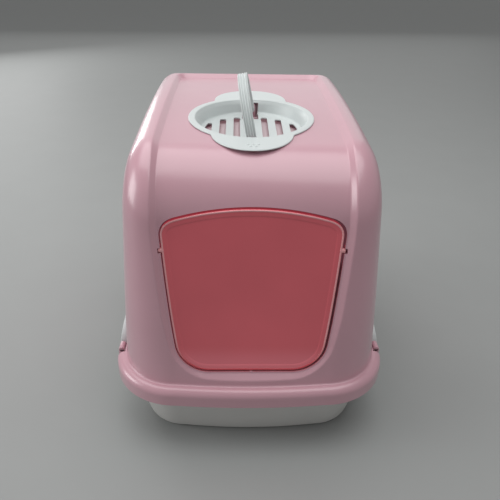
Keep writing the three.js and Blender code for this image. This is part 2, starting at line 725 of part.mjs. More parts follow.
const insert = piece("vent_insert", insertGeometry(), whitePlastic());
const bailPlace = [0, 0, -handlePivotDepth];
const bail = piece("carry_handle", handleGeometry(), whitePlastic(), bailPlace, [0, handleLean, 0]);
litterBox.add(framed(ventFrame, insert, bail));

const rightClip = [barrelX, clipY, barrelHeight];
const leftClip = [-barrelX, clipY, barrelHeight];
litterBox.add(piece("side_clip_right", clipGeometry(), whitePlastic(), rightClip, [0, -clipLean, 0]));
litterBox.add(piece("side_clip_left", clipGeometry(), whitePlastic(), leftClip, [0, clipLean, Math.PI]));

export default litterBox;
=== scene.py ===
import json
import math

import bmesh
import bpy
import numpy as np
from bpy.props import FloatProperty, FloatVectorProperty, IntProperty, PointerProperty
from mathutils import Matrix, Vector


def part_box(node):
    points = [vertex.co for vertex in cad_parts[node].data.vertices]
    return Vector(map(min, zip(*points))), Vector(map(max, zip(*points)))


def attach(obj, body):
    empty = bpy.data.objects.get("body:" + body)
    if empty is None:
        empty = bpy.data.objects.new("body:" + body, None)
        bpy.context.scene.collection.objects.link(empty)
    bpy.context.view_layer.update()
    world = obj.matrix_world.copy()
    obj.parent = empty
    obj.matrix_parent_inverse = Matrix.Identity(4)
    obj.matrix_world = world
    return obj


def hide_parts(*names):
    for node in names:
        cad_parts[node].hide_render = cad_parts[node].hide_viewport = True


bl_info = {
    "name": "Cat Litter Box",
    "version": (1, 0, 0),
    "blender": (4, 5, 0),
    "location": "View3D > Sidebar > Litter Box",
    "description": "Hooded cat litter box with a swing door, a vent insert, a folding handle and side clips",
    "category": "Add Mesh",
}

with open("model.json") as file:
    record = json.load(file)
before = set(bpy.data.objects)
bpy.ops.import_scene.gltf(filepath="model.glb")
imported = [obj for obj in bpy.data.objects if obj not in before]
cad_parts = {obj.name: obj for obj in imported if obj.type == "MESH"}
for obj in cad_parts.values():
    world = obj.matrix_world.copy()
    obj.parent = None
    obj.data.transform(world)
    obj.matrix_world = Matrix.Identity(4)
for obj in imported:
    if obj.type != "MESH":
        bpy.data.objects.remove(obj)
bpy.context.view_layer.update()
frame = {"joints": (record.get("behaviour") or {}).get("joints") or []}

# Lengths below are in millimetres; new_piece turns them into metres.
MM = 0.001


def corners(node):
    """Lowest and highest corner of a frame node, in millimetres."""
    return [np.array(corner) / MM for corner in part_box(node)]


def joint_place(name):
    """Position of a frame joint, in millimetres."""
    found = next(joint for joint in frame["joints"] if joint["name"] == name)
    return np.array(found["pos_m"]) / MM


HOOD_LOW, HOOD_HIGH = corners("hood")
TRAY_TOP = corners("litter_tray")[1][2]
DOOR_PIVOT = joint_place("door_swing")
CLIP_PIVOT = joint_place("right_clip_open")

# Whole box.
HALF_WIDTH, HALF_LENGTH = HOOD_HIGH[0], HOOD_HIGH[1]
PLAN_CORNER = 95.0
PLAN_BOW = 5.0
WALL = 3.0
FIT = 0.3

# Hood: skirt, roll, flange, walls and roof.
SKIRT_BOTTOM = HOOD_LOW[2]
ROLL = 10.5
CREASE = SKIRT_BOTTOM + 15.5 + ROLL
FLANGE = 14.5
FRONT_LEAN = math.radians(9.3)
SIDE_DRAFT, REAR_DRAFT = 0.068, 0.017
BOW_FADE = 120.0
ROOF_PEAK, ROOF_PEAK_Y, ROOF_RADIUS = 432.7, 120.0, 2875.0
SHOULDER, BEND, REAR_EDGE = 32.0, 75.0, 14.0
WALL_HALF_WIDTH = HALF_WIDTH - FLANGE
WALL_HALF_LENGTH = HALF_LENGTH - FLANGE

# Recess and door opening.
RECESS_DEPTH, RECESS_SLOPE, RECESS_LAND = 7.5, 8.0, 2.0
WIDENING = 90.0
PANEL_HALF, PANEL_CORNER, REAR_RIM = 122.0, 14.0, 19.0
SILL, OPENING_BOTTOM, OPENING_CORNER, OPENING_HALF = 18.0, 57.0, 48.0, 119.4
SIDE_TOP, ARCH_RISE, ARCH_CORNER, ARCH_DROP = 218.4, 37.6, 20.0, 13.5
SIDE_FLARE, SIDE_BEND = math.radians(8), 0.37
SPLIT = 300.0  # along the recess, between the door's part and the vent's part
DOOR_GAP, DOOR_TOP_GAP, DOOR_PLAY = 2.5, 3.5, 1.0
PIN_DEPTH, PIN_RADIUS, PIN_REACH, PIN_CLEARANCE = 3.6, 3.4, 2.2, 0.35
SOCKET_HALF, SOCKET_DEPTH = 7.0, 9.5
NUB, NUB_RISE = 3.0, 1.3  # radius of the stop on the sill, and how far it stands above the sill
DOOR_LEAF, DOOR_RIM, EDGE_REACH, EDGE_WALL = 2.6, 6.5, 9.0, 1.2

# Vent insert, its well and the handle.
VENT_Y = -23.0
BOWL, BOWL_FLOOR, BOWL_FILLET, BOWL_DEPTH = 81.0, 74.0, 3.5, 20.0
PLATE, RING, LOBE, FRONT_LOBE, REAR_LOBE = 2.0, 91.5, 56.0, 124.0, 136.0
PLATE_EDGE = (0, 1.4), (0.15, 0.8), (0.6, 0.25), (1.2, 0)  # insets and drops
LIP_ROUND = 2.2
SLOT_PITCH, SLOT_WIDTH, SLOT_REACH = 21.0, 9.6, 68.5
SLOT_SPREAD, SLOT_LENGTH, SLOT_CORNER = 71.0, 53.0, 3.0  # half axes of the ellipse that the slots' ends lie on
LUG_SLOT, LUG_REACH, LUG_DROP = 12.5, 44.0, 3.0
WELL, WELL_WALL, WELL_GAP, WELL_LAP, WELL_SLOT = 84.5, 2.5, 5.0, 1.8, 8.0
INSERT_TOP = FIT + PLATE
INSERT_FLOOR = INSERT_TOP - BOWL_DEPTH
WELL_FLOOR = INSERT_FLOOR - PLATE - WELL_GAP
HANDLE, HANDLE_BAR, HANDLE_WIDTH, HANDLE_DROP = 73.0, 5.5, 14.0, 10.5
HANDLE_LEAN = math.radians(-11)
HANDLE_SOFT, RIDGE, RIDGE_DROP = 1.5, 1.4, 0.15
HANDLE_PIN, HANDLE_PIN_REACH, LUG_HALF = 2.6, 7.0, 8.5
NOTCH, NOTCH_Y = 13.0, -105.0
DOT, DOT_PITCH = 2.0, 7.0

# Bars and webs run a little into the ring round them and lie a little below it, so that no two faces coincide.
BAR_LAP, BAR_SINK, WEB_SINK, WELL_BAR_LAP, WELL_BAR_SINK = 0.5, 0.04, 0.1, 0.6, 0.05

# Side clips.
CLIP_LENGTH, CLIP_HEIGHT, CLIP_PLATE, CLIP_LEAN = 110.0, 31.0, 2.6, math.radians(7)
BARREL, CLIP_PIN, CLIP_PIN_REACH = 5.5, 2.4, 8.0
EAR_LENGTH, EAR_GAP, EAR_RADIUS, EAR_RISE, EAR_FOOT, CLIP_RIM = 16.0, 0.6, 4.4, 6.0, 6.0, 8.0
NOTCH_INSET = HALF_WIDTH - (CLIP_PIVOT[0] - BARREL - 0.7)
NOTCH_FLOOR = CLIP_PIVOT[2] - BARREL - 2.5

# Tray.
TRAY_BOTTOM = (158.0, 225.0, 60.0, 6.5)  # half width, half length, corner and bow at the floor
TRAY_EDGE, TRAY_WALL, TRAY_LIP, RIM_INSET = 7.0, 2.8, 9.5, 4.5

# Stage. Lamps and camera are in metres and watts; the floor lies a hair below the tray.
FLOOR_REACH, FLOOR_DROP = 30000.0, 0.05
ROOM_LIGHT = 0.33
LAMP_TARGET = (0, 0, 0.3)
LAMPS = (  # name, place, width, height and power
    ("overhead softbox", (-0.1, 0.05, 2.0), 1.6, 2.8, 28),
    ("rear softbox", (-0.2, 3.0, 1.8), 4.6, 3.3, 17),
    ("side softbox", (-2.6, -0.25, 1.1), 1.3, 1.3, 22),
    ("low window", (-1.7, 2.6, 0.75), 1.2, 0.55, 11))
CAMERA_PLACE, CAMERA_LENS, CAMERA_SENSOR = (-0.02266, -0.80423, 0.6465), 38.94, 36
CAMERA_PITCH, CAMERA_YAW, CAMERA_ROLL = 0.5208, 0.0314, 0.019


# ---- Curves and fields ----


def mix(a, b, share):
    """Straight line from a to b."""
    return a + (b - a) * share


def line(start, end, count=2):
    """Straight line of evenly spaced points."""
    share = np.linspace(0, 1, count)[:, None]
    return mix(np.array(start, float), np.array(end, float), share)


def bend(start, turn, end, count=80):
    """Quadratic Bezier curve: (1-k)^2 start + 2k(1-k) turn + k^2 end."""
    k = np.linspace(0, 1, count)[:, None]
    a, b, c = (np.array(p, float) for p in (start, turn, end))
    return (1 - k) ** 2 * a + 2 * k * (1 - k) * b + k**2 * c


def arc(centre, radius, first, last, count=80):
    """Circle's arc: centre + radius (cos a, sin a), with a running evenly from first to last."""
    a = np.linspace(first, last, count)
    return np.stack([centre[0] + radius * np.cos(a), centre[1] + radius * np.sin(a)], -1)


def spaced(stops, counts):
    """Rising row of even steps between each stop and the next."""
    parts = [np.linspace(a, b, n + 1)[:-1] for a, b, n in zip(stops, stops[1:], counts)]
    return np.append(np.concatenate(parts), stops[-1])


def at_height(flat, z):
    """Flat points given one height."""
    return np.concatenate([flat, np.full((len(flat), 1), float(z))], -1)


def about_y(angle):
    """Matrix that turns about Y."""
    c, s = math.cos(angle), math.sin(angle)
    return np.array([[c, 0, s], [0, 1, 0], [-s, 0, c]])


def resample(points, count):
    """The same line with count even steps along its own length."""
    along = np.concatenate([[0], np.cumsum(np.linalg.norm(np.diff(points, axis=0), axis=1))])
    wanted = np.linspace(0, along[-1], count + 1)
    return np.stack([np.interp(wanted, along, points[:, k]) for k in range(points.shape[1])], -1)


def chain(parts):
    """Lines joined end to end, each given with its number of steps."""
    pieces = [resample(points, count) for points, count in parts]
    return np.concatenate([pieces[0]] + [piece[1:] for piece in pieces[1:]])


def between(points, low, high):
    """The part of a rising line between two heights."""
    count = len(points)
    heights = np.linspace(low, high, count)
    return np.stack([np.interp(heights, points[:, 1], points[:, 0]), heights], -1)


def outward(points, closed=False):
    """Unit vectors to the right of a line's direction, from central differences."""
    if closed:
        step = np.roll(points, -1, 0) - np.roll(points, 1, 0)
    else:
        step = np.gradient(points, axis=0)
    step = step / np.linalg.norm(step, axis=1, keepdims=True)
    return np.stack([step[:, 1], -step[:, 0]], -1)


def round_join(a, b, radius):
    """Two signed distances joined over a rounded edge of that radius."""
    u, v = a + radius, b + radius
    return np.minimum(np.maximum(u, v), 0) + np.hypot(np.maximum(u, 0), np.maximum(v, 0)) - radius


def halving(under, low, high, times):
    """Where a test stops holding on the way from low to high, by halving the stretch again and again."""
    for _ in range(times):
        middle = (low + high) / 2
        holds = under(middle)
        low, high = np.where(holds, middle, low), np.where(holds, high, middle)
    return low


def crossing(field, inside, outside):
    """Where a field turns positive on the way from inside to outside."""
    ends = np.zeros(inside.shape[:-1]), np.ones(inside.shape[:-1])
    share = halving(lambda k: field(mix(inside, outside, k[..., None])) < 0, *ends, 34)
    return mix(inside, outside, share[..., None])


def roof(y):
    """Height of the roof: a parabola with its top at ROOF_PEAK_Y."""
    return ROOF_PEAK - (y - ROOF_PEAK_Y) ** 2 / (2 * ROOF_RADIUS)


def nose_field(y, z, bulge=0.0):
    """Signed distance to the leaning front and the roof, joined over the front bend."""
    front = (bulge - WALL_HALF_LENGTH - y) * math.cos(FRONT_LEAN) + (z - CREASE) * math.sin(FRONT_LEAN)
    return round_join(front, z - roof(y), BEND)


def hood_field(points):
    """Signed distance to the hood's skin: drafted sides joined to front, roof and rear by rounded corners."""
    x, y, z = np.abs(points[..., 0]), points[..., 1], points[..., 2]
    rise = z - CREASE
    share = np.clip(rise / (ROOF_PEAK - CREASE), 0, 1)
    fade = np.clip(rise / BOW_FADE, 0, 1)
    fade = 1 - fade * fade * (3 - 2 * fade)
    bulge = PLAN_BOW * np.minimum(x / (HALF_WIDTH - PLAN_CORNER), 1) ** 2 * fade
    rear = y - (WALL_HALF_LENGTH - bulge - REAR_DRAFT * rise)
    end = round_join(nose_field(y, z, bulge), rear, REAR_EDGE)
    side = x - (WALL_HALF_WIDTH - SIDE_DRAFT * rise)
    return round_join(side, end, mix(PLAN_CORNER - FLANGE, SHOULDER, share))


def plan(where, half_width, half_length, corner, bow):
    """Right half of a rounded rectangle with bowed ends. It runs 0-1 along the front, 1-2 round the front
    corner, 2-3 along the side, 3-4 round the rear corner and 4-5 along the rear to the middle."""
    front, side, rear = (np.clip(where - k, 0, 1) for k in (0, 2, 4))
    turn, back = (np.clip(where - k, 0, 1) * math.pi / 2 for k in (1, 3))
    straight = half_width - corner
    end = half_length - bow - corner
    x = straight * (front - rear) + corner * (np.sin(turn) + np.cos(back) - 1)
    y = -half_length + bow * front**2 + corner * (1 - np.cos(turn) + np.sin(back))
    return np.stack([x, y + 2 * end * side + bow * (1 - (1 - rear) ** 2)], -1)


def box_plan(where, inset, z):
    """The box's own plan drawn in by an inset, at height z."""
    return at_height(plan(where, HALF_WIDTH - inset, HALF_LENGTH - inset, PLAN_CORNER - inset, PLAN_BOW), z)


def roll_steps(radius, centre_inset, centre_z, count):
    """Insets and heights down a quarter roll, from its top to its foot."""
    a = np.linspace(math.pi / 2, 0, count)
    return list(zip(centre_inset - radius * np.cos(a), centre_z + radius * np.sin(a)))


def floor_path():
    """The recess floor's line in the YZ plane, where the nose field is RECESS_DEPTH below the skin, found on
    rays from a hub and measured by its own length from the crease upwards, with its normals."""
    hub = np.array([ROOF_PEAK_Y - BEND, ROOF_PEAK - 2 * BEND])
    far, rays, front = 900, 3000, 1000  # the first rays, up to front, meet the leaning front
    a = np.linspace(math.radians(217), math.radians(32), rays)
    ray = np.stack([np.cos(a), np.sin(a)], -1)
    path = crossing(lambda p: nose_field(p[..., 0], p[..., 1]) + RECESS_DEPTH, hub + 0 * ray, hub + far * ray)
    along = np.concatenate([[0], np.cumsum(np.linalg.norm(np.diff(path, axis=0), axis=1))])
    along -= np.interp(CREASE, path[:front, 1], along[:front])
    return along, path, -outward(path)


ALONG, PATH, PATH_NORMAL = floor_path()
PANEL_END = float(np.interp(WALL_HALF_LENGTH - REAR_DRAFT * (ROOF_PEAK - CREASE) - REAR_RIM, PATH[:, 0], ALONG))


def on_floor(flat, height=0.0):
    """Point of the recess: x across, t along the floor's path, raised along the path's normal."""
    x, t = flat[..., 0], flat[..., 1]
    y, z = (np.interp(t, ALONG, PATH[:, k]) for k in (0, 1))
    ny, nz = (np.interp(t, ALONG, PATH_NORMAL[:, k]) for k in (0, 1))
    return np.stack([x, y + ny * height, z + nz * height], -1)


def turned_frame(origin, angle):
    """Axes turned about X, as a matrix, and where they start."""
    c, s = math.cos(angle), math.sin(angle)
    turn = np.array([[1, 0, 0], [0, c, -s], [0, s, c]])
    return turn, np.array(origin, float)


def place(points, where):
    """Points carried from a frame's own axes to the box's."""
    turn, origin = where
    return points @ turn.T + origin


FRONT_FRAME = turned_frame(
    (0, -WALL_HALF_LENGTH + RECESS_DEPTH / math.cos(FRONT_LEAN), CREASE), math.pi / 2 - FRONT_LEAN)
VENT_TILT = math.atan((ROOF_PEAK_Y - VENT_Y) / ROOF_RADIUS)
VENT_FRAME = turned_frame((0, VENT_Y, roof(VENT_Y) - RECESS_DEPTH), VENT_TILT)
PIVOT_HEIGHT = float((DOOR_PIVOT - FRONT_FRAME[1]) @ FRONT_FRAME[0][:, 1])


# ---- Surfaces ----


class Surface:
    """Grids of points gathered into one mesh. A grid's faces look along rows x columns."""

    def __init__(self):
        self.points, self.quads, self.count = [], [], 0

    def grid(self, points, wrap=False, keep=None):
        """Adds rows x columns x 3 points; wrap joins the last column to the first; keep masks its faces."""
        rows, columns = points.shape[:2]
        index = self.count + np.arange(rows * columns).reshape(rows, columns)
        if wrap:
            index = np.concatenate([index, index[:, :1]], 1)
        a, b, c, d = index[:-1, :-1], index[1:, :-1], index[1:, 1:], index[:-1, 1:]
        faces = np.stack([a, b, c, d], -1)
        faces = faces[keep] if keep is not None else faces.reshape(-1, 4)
        self.points.append(points.reshape(-1, 3))
        self.quads.append(faces)
        self.count += rows * columns

    def mesh(self, name, turn_out=True):
        """One mesh of all grids, with doubles merged; turn_out closes open ends and turns closed shells' faces
        outwards."""
        points, quads = np.concatenate(self.points) * MM, np.concatenate(self.quads)
        mesh = bpy.data.meshes.new(name)
        mesh.vertices.add(len(points))
        mesh.vertices.foreach_set("co", points.astype(np.float32).ravel())
        mesh.loops.add(quads.size)
        mesh.loops.foreach_set("vertex_index", quads.astype(np.int32).ravel())
        mesh.polygons.add(len(quads))
        mesh.polygons.foreach_set("loop_start", np.arange(0, quads.size, 4, dtype=np.int32))
        mesh.update(calc_edges=True)
        work = bmesh.new()
        work.from_mesh(mesh)
        bmesh.ops.remove_doubles(work, verts=work.verts, dist=0.002 * MM)
        loose = [v for v in work.verts if not v.link_faces]
        bmesh.ops.delete(work, geom=loose, context="VERTS")
        if turn_out:
            open_edges = [edge for edge in work.edges if edge.is_boundary]
            if open_edges:
                bmesh.ops.holes_fill(work, edges=open_edges, sides=0)
            bmesh.ops.recalc_face_normals(work, faces=work.faces)
        work.to_mesh(mesh)
        work.free()
        mesh.validate()
        mesh.shade_smooth()
        return mesh


def shells_mesh(name, shells, where=None):
    """One mesh of shells that close round their columns, carried from a frame's axes where one is given."""
    surface = Surface()
    for rows in shells:
        surface.grid(place(rows, where) if where else rows, wrap=True)
    return surface.mesh(name)


def mirrored(half):
    """Whole loop from its right half: columns out, then the same with x turned round on the way back."""
    left = half[..., -2:0:-1, :] * np.array([-1.0, 1.0, 1.0])
    return np.concatenate([half, left], -2)


def both_halves(mask):
    """Face mask of a mirrored loop from its right half's mask."""
    return np.concatenate([mask, mask[:, ::-1]], 1)


def closed_rows(rows):
    """Rows with a point at each end, so that the shell closes over its first and last loop."""
    first, last = rows[0].mean(0), rows[-1].mean(0)
    return np.concatenate([[first + 0 * rows[0]], rows, [last + 0 * rows[-1]]])


def plate_rows(outline, profile):
    """Closed plate: the outline drawn in by each inset of a profile of (inset, height) pairs."""
    out = outward(outline, closed=True)
    return closed_rows(np.array([at_height(outline - out * inset, z) for inset, z in profile]))


def soft_edge(low, high, edge, count=4):
    """Profile of a slab between two heights whose edges are rounded by quarter circles."""
    a = np.linspace(0, math.pi / 2, count)
    steps = list(zip(edge * (1 - np.sin(a)), edge * (1 - np.cos(a))))
    return [(inset, low + rise) for inset, rise in steps] + [(inset, high - rise) for inset, rise in steps[::-1]]


def lathe_rows(profile, count=48):
    """Profile of (radius, height) pairs turned about Z: (r cos a, r sin a, h)."""
    a = np.arange(count) / count * 2 * math.pi
    ring = np.stack([np.cos(a), np.sin(a), 0 * a], -1)
    radius, height = np.array(profile, float).T[:, :, None, None]
    return radius * ring + height * np.array([0, 0, 1])


def rod_profile(radius, length, edge):
    """Half section of a rod along Z with rounded ends, from one end's centre to the other's."""
    a = np.linspace(0, math.pi / 2, 4)
    up = [(0, 0)] + list(zip(radius - edge + edge * np.sin(a), edge - edge * np.cos(a)))
    return up + [(r, length - z) for r, z in reversed(up)]


def along_y(points, x, y, z):
    """Points made about Z laid along Y and moved."""
    return np.stack([points[..., 0] + x, points[..., 2] + y, -points[..., 1] + z], -1)


def along_x(points, x, y, z):
    """Points made about Z laid along X and moved."""
    return np.stack([points[..., 2] + x, points[..., 1] + y, -points[..., 0] + z], -1)


# ---- Hood ----


def opening_side(grow):
    """Right half of the door opening below its arch, grown: flat sill, corner and leaning side."""
    centre = np.array([OPENING_BOTTOM, SILL + OPENING_CORNER])
    flare = np.array([math.cos(SIDE_FLARE), -math.sin(SIDE_FLARE)])
    start = centre + OPENING_CORNER * flare
    climb = SIDE_BEND * (SIDE_TOP - start[1])
    turn = start + climb * np.array([math.tan(SIDE_FLARE), 1])
    flat = line((0, SILL - grow), (OPENING_BOTTOM, SILL - grow))
    corner = arc(centre, OPENING_CORNER + grow, -math.pi / 2, -SIDE_FLARE)
    start = centre + (OPENING_CORNER + grow) * flare
    return flat, corner, bend(start, turn + [grow, 0], (OPENING_HALF + grow, SIDE_TOP), 400)


def opening_arch(grow, top_grow):
    """Right half of the opening's arched top: a rounded corner, then a shallow arch."""
    edge = OPENING_HALF + grow
    flat = OPENING_HALF - ARCH_CORNER
    slope = 2 * ARCH_DROP / flat
    foot = SIDE_TOP + ARCH_RISE - ARCH_DROP + top_grow
    corner = bend((edge, SIDE_TOP), (edge, foot - slope * ARCH_CORNER), (flat + grow / 2, foot))
    top = bend((flat + grow / 2, foot), (flat / 2, foot + ARCH_DROP), (0, foot + ARCH_DROP))
    return corner, top


# Columns of the hood's half loop, part by part, and where each part ends round the base's plan. The clips' notch
# runs from CLIP_FROM, 83 degrees round the front corner, to CLIP_TO, on the straight side.
PARTS = (12, 14, 24, 2, 4, 12, 30, 34, 10, 20)
FLAT, CORNER, SIDE_LOW, SIDE_PIN, SIDE_HIGH, NECK, ROOF_FRONT, ROOF_REAR, REAR_CORNER, REAR = PARTS
SIDE_HALF, ROOF_MIDDLE = 160.0, -12.4  # half the straight side, and the y where the roof's front part ends
CLIP_FROM, CLIP_TO = 1 + 83 / 90, 2 + (SIDE_HALF + ROOF_MIDDLE) / (2 * SIDE_HALF)
BASE_STOPS = (0, 0.6, 1.0, 1.62, 1.66, 1.75, CLIP_FROM, CLIP_TO, 3.06, 3.9, 5)
PIN_AT = FLAT + CORNER + SIDE_LOW
SPLIT_AT = PIN_AT + SIDE_PIN + SIDE_HIGH + NECK
SPLIT_STEPS = 24
CORE = (-100, -150, CREASE), (100, 150, ROOF_PEAK - PLAN_CORNER)  # inner box, from which rays go out to the skin
WELL_STOPS = (7.2, 58, 68)  # degrees round the vent's circle where the roof's parts end
SKIRT_ROWS = (92.5, 85)
CREASE_ROUND, SLOPE_ROUND = 2.6, 1.2
PIN_LOW, PIN_HIGH = PIVOT_HEIGHT - PIN_RADIUS - 0.1, PIVOT_HEIGHT + PIN_RADIUS + 0.1


def side_parts(side):
    """The opening's side cut at the door pins' notch."""
    low = between(side, side[0, 1], PIN_LOW)
    return [(low, SIDE_LOW), (between(side, PIN_LOW, PIN_HIGH), SIDE_PIN),
            (between(side, PIN_HIGH, SIDE_TOP), SIDE_HIGH)]


def floor_edge():
    """Right half of the recess floor's edge as x and t: round the opening, up over the bend and round the rear."""
    flat, corner, side = opening_side(RECESS_LAND)
    half = OPENING_HALF + RECESS_LAND
    wide_at = SIDE_TOP + WIDENING
    at_split = (mix(half, PANEL_HALF, (SPLIT - SIDE_TOP) / WIDENING), SPLIT)
    middle = float(np.interp(ROOF_MIDDLE, PATH[:, 0], ALONG))
    turn_t = PANEL_END - PANEL_CORNER
    roof_line = np.array([at_split, (PANEL_HALF, wide_at), (PANEL_HALF, middle)])
    turn = arc((PANEL_HALF - PANEL_CORNER, turn_t), PANEL_CORNER, 0, math.pi / 2)
    return chain([
        (flat, FLAT), (corner, CORNER), *side_parts(side),
        (line((half, SIDE_TOP), at_split), NECK), (roof_line, ROOF_FRONT),
        (line((PANEL_HALF, middle), (PANEL_HALF, turn_t)), ROOF_REAR), (turn, REAR_CORNER),
        (line((PANEL_HALF - PANEL_CORNER, PANEL_END), (0, PANEL_END)), REAR)])


def fillet(start, corner, end, count):
    """Rows of a rounded edge: a quadratic Bezier from start to end about the sharp corner."""
    k = np.linspace(0, 1, count)[:, None, None]
    return (1 - k) ** 2 * start + 2 * k * (1 - k) * corner + k**2 * end


def hood_rings(soft):
    """Rows of the hood outside the recess floor, for its right half: floor edge, slope, skin, crease, flange,
    roll and skirt. The skin's rows run straight from the recess to the crease and are pushed out to the skin
    along rays from a core box."""
    edge = floor_edge()
    out = outward(edge)
    out[0], out[-1] = (0, -1), (0, 1)
    rate = RECESS_SLOPE / RECESS_DEPTH
    lean = math.hypot(1, rate)

    def slope(height):
        return on_floor(edge + out * rate * height[:, None], height)

    foot = SLOPE_ROUND
    inner = edge - out * foot
    rows = list(fillet(on_floor(inner), on_floor(edge), on_floor(edge + out * foot * rate / lean, foot / lean), 5))

    # The slope meets the skin at its top: a coarse search up the slope, then halving.
    heights = np.linspace(0, 2 * RECESS_DEPTH, 600)[:, None]
    under = hood_field(on_floor(edge + out * rate * heights[..., None], heights)) < 0
    step = heights[1, 0]
    low = heights[np.argmin(under, 0), 0] - step
    top = halving(lambda h: hood_field(slope(h)) < 0, low, low + 2 * step, 30)

    below = top - soft / lean
    pin_height = np.minimum((PIN_REACH + DOOR_PLAY + FIT - RECESS_LAND) / rate, 0.55 * below)
    rows += [slope(mix(pin_height, below, share)) for share in np.linspace(0, 1, 5)]
    beyond_flat = edge + out * (rate * top + soft)[:, None]
    search = 40
    beyond = crossing(hood_field, on_floor(beyond_flat, top - search), on_floor(beyond_flat, top + search))
    rows += list(fillet(slope(below), slope(top), beyond, 7))[1:]

    stops = spaced(BASE_STOPS, PARTS)

    def onto_skin(points):
        middle = np.clip(points, *CORE)
        ray = points - middle
        ray /= np.linalg.norm(ray, axis=-1, keepdims=True)
        return crossing(hood_field, middle, middle + 2 * HALF_WIDTH * ray)

    base = onto_skin(box_plan(stops, FLANGE, CREASE + CREASE_ROUND))
    share = np.linspace(0, 1, 45)[1:]
    share = share * (0.3 + 0.7 * share)  # closer together near the recess
    rows += list(onto_skin(mix(beyond[None], base[None], share[:, None, None])))
    flange = box_plan(stops, FLANGE - CREASE_ROUND, CREASE)
    rows += list(fillet(base, box_plan(stops, FLANGE, CREASE), flange, 5))[1:]
    rows.append(box_plan(stops, NOTCH_INSET, CREASE))
    cut_from = len(rows) - 1
    rows += [box_plan(stops, inset, z) for inset, z in roll_steps(ROLL, ROLL, CREASE - ROLL, 10)]
    cut_to = len(rows) + 1
    rows += [box_plan(stops, 0, z) for z in (SKIRT_ROWS[0], NOTCH_FLOOR, SKIRT_ROWS[1], SKIRT_BOTTOM + 1, SKIRT_BOTTOM)]

    keep = np.ones((len(rows) - 1, len(edge) - 1), bool)
    keep[cut_from:cut_to, SPLIT_AT:SPLIT_AT + ROOF_FRONT] = False
    keep[:5, PIN_AT:PIN_AT + SIDE_PIN] = False
    return inner, np.array(rows), keep


def keyhole():
    """Right half of the hole in the roof panel as x and t: a thumb notch that opens into the vent's circle."""
    mouth = math.asin(NOTCH / WELL)
    notch = arc((0, NOTCH_Y), NOTCH, -math.pi / 2, 0)
    side = line((NOTCH, NOTCH_Y), (NOTCH, -WELL * math.cos(mouth)))
    stops = [mouth - math.pi / 2, *np.radians(WELL_STOPS), math.pi / 2]
    arcs = [arc((0, 0), WELL, a, b) for a, b in zip(stops, stops[1:])]
    parts = [(notch, 10), (side, SPLIT_STEPS - 10)] + list(zip(arcs, (ROOF_FRONT, ROOF_REAR, REAR_CORNER, REAR)))
    local = chain(parts)
    world_y = VENT_Y + local[:, 1] * math.cos(VENT_TILT)
    return np.stack([local[:, 0], np.interp(world_y, PATH[:, 0], ALONG)], -1)


def hood_mesh(soft):
    """The hood's outer sheet: the door's and the vent's parts of the recess floor, each mixed between its hole
    and its outer edge, then the rings around them."""
    inner, rings, keep = hood_rings(soft)
    sheet = Surface()
    sheet.grid(mirrored(rings), wrap=True, keep=both_halves(keep))

    split_end = inner[SPLIT_AT]
    split = line(split_end, (0, split_end[1]), SPLIT_STEPS + 1)
    flat, corner, side = opening_side(0)
    arch_corner, arch_top = opening_arch(0, 0)
    hole = chain([(flat, FLAT), (corner, CORNER), *side_parts(side), (arch_corner, NECK), (arch_top, SPLIT_STEPS)])
    around = np.concatenate([inner[:SPLIT_AT + 1], split[1:]])
    share = np.linspace(0, 1, 9)[:, None, None]
    keep = np.ones((8, len(hole) - 1), bool)
    keep[:, PIN_AT:PIN_AT + SIDE_PIN] = False
    sheet.grid(mirrored(on_floor(mix(hole, around, share))), wrap=True, keep=both_halves(keep))

    around = np.concatenate([split[::-1], inner[SPLIT_AT + 1:]])
    share = np.linspace(0, 1, 17)[:, None, None]
    sheet.grid(mirrored(on_floor(mix(keyhole(), around, share))), wrap=True)
    return sheet.mesh("hood_shell", turn_out=False)


def slot_bars(ranges, z, reach, cut_y=None, cut_x=0.0):
    """Grids of the bars between a round floor's slots: x across, y out to the circle of the reach. Where cut_y is
    given, a bar that starts within cut_x of the middle is narrowed to cut_x beyond it."""
    grids = []

    def strip(x, low, high, count):
        y = mix(low, high, np.linspace(0, 1, count)[:, None]) + 0 * x
        return np.stack([x + 0 * y, y, z + 0 * y], -1)

    for low, high in ranges:
        for side in (-1, 1) if low > 0 else (1,):
            x = np.linspace(low, high, 5)[None] if side > 0 else np.linspace(-high, -low, 5)[None]
            if cut_y is None or low > cut_x:
                far = np.sqrt(np.maximum(reach**2 - x**2, 0))
                grids.append(strip(x, -far, far, 25))
                continue
            grids.append(strip(x, -cut_y, cut_y, 13))
            x = np.sort(side * np.linspace(cut_x, high, 3))[None]
            far = np.sqrt(reach**2 - x**2)
            grids += [strip(x, cut_y, far, 5), strip(x, -far, -cut_y, 5)]
    return grids


def well_bars_mesh():
    """The bars of the well's floor, under the insert's slots."""
    bars = []
    half = (SLOT_PITCH - WELL_SLOT) / 2
    ranges = [(-half, half)] + [(k * SLOT_PITCH - half, min(k * SLOT_PITCH + half, SLOT_REACH)) for k in (1, 2, 3)]
    for top in slot_bars(ranges, WELL_FLOOR - WELL_BAR_SINK, SLOT_REACH + WELL_BAR_LAP):
        loop = np.concatenate([top[:, 0], top[-1, 1:], top[-2::-1, -1], top[0, -2:0:-1]])
        bars.append(closed_rows(np.array([loop, loop - [0, 0, WELL_WALL - 0.1]])))
    return shells_mesh("well_bars", bars, VENT_FRAME)


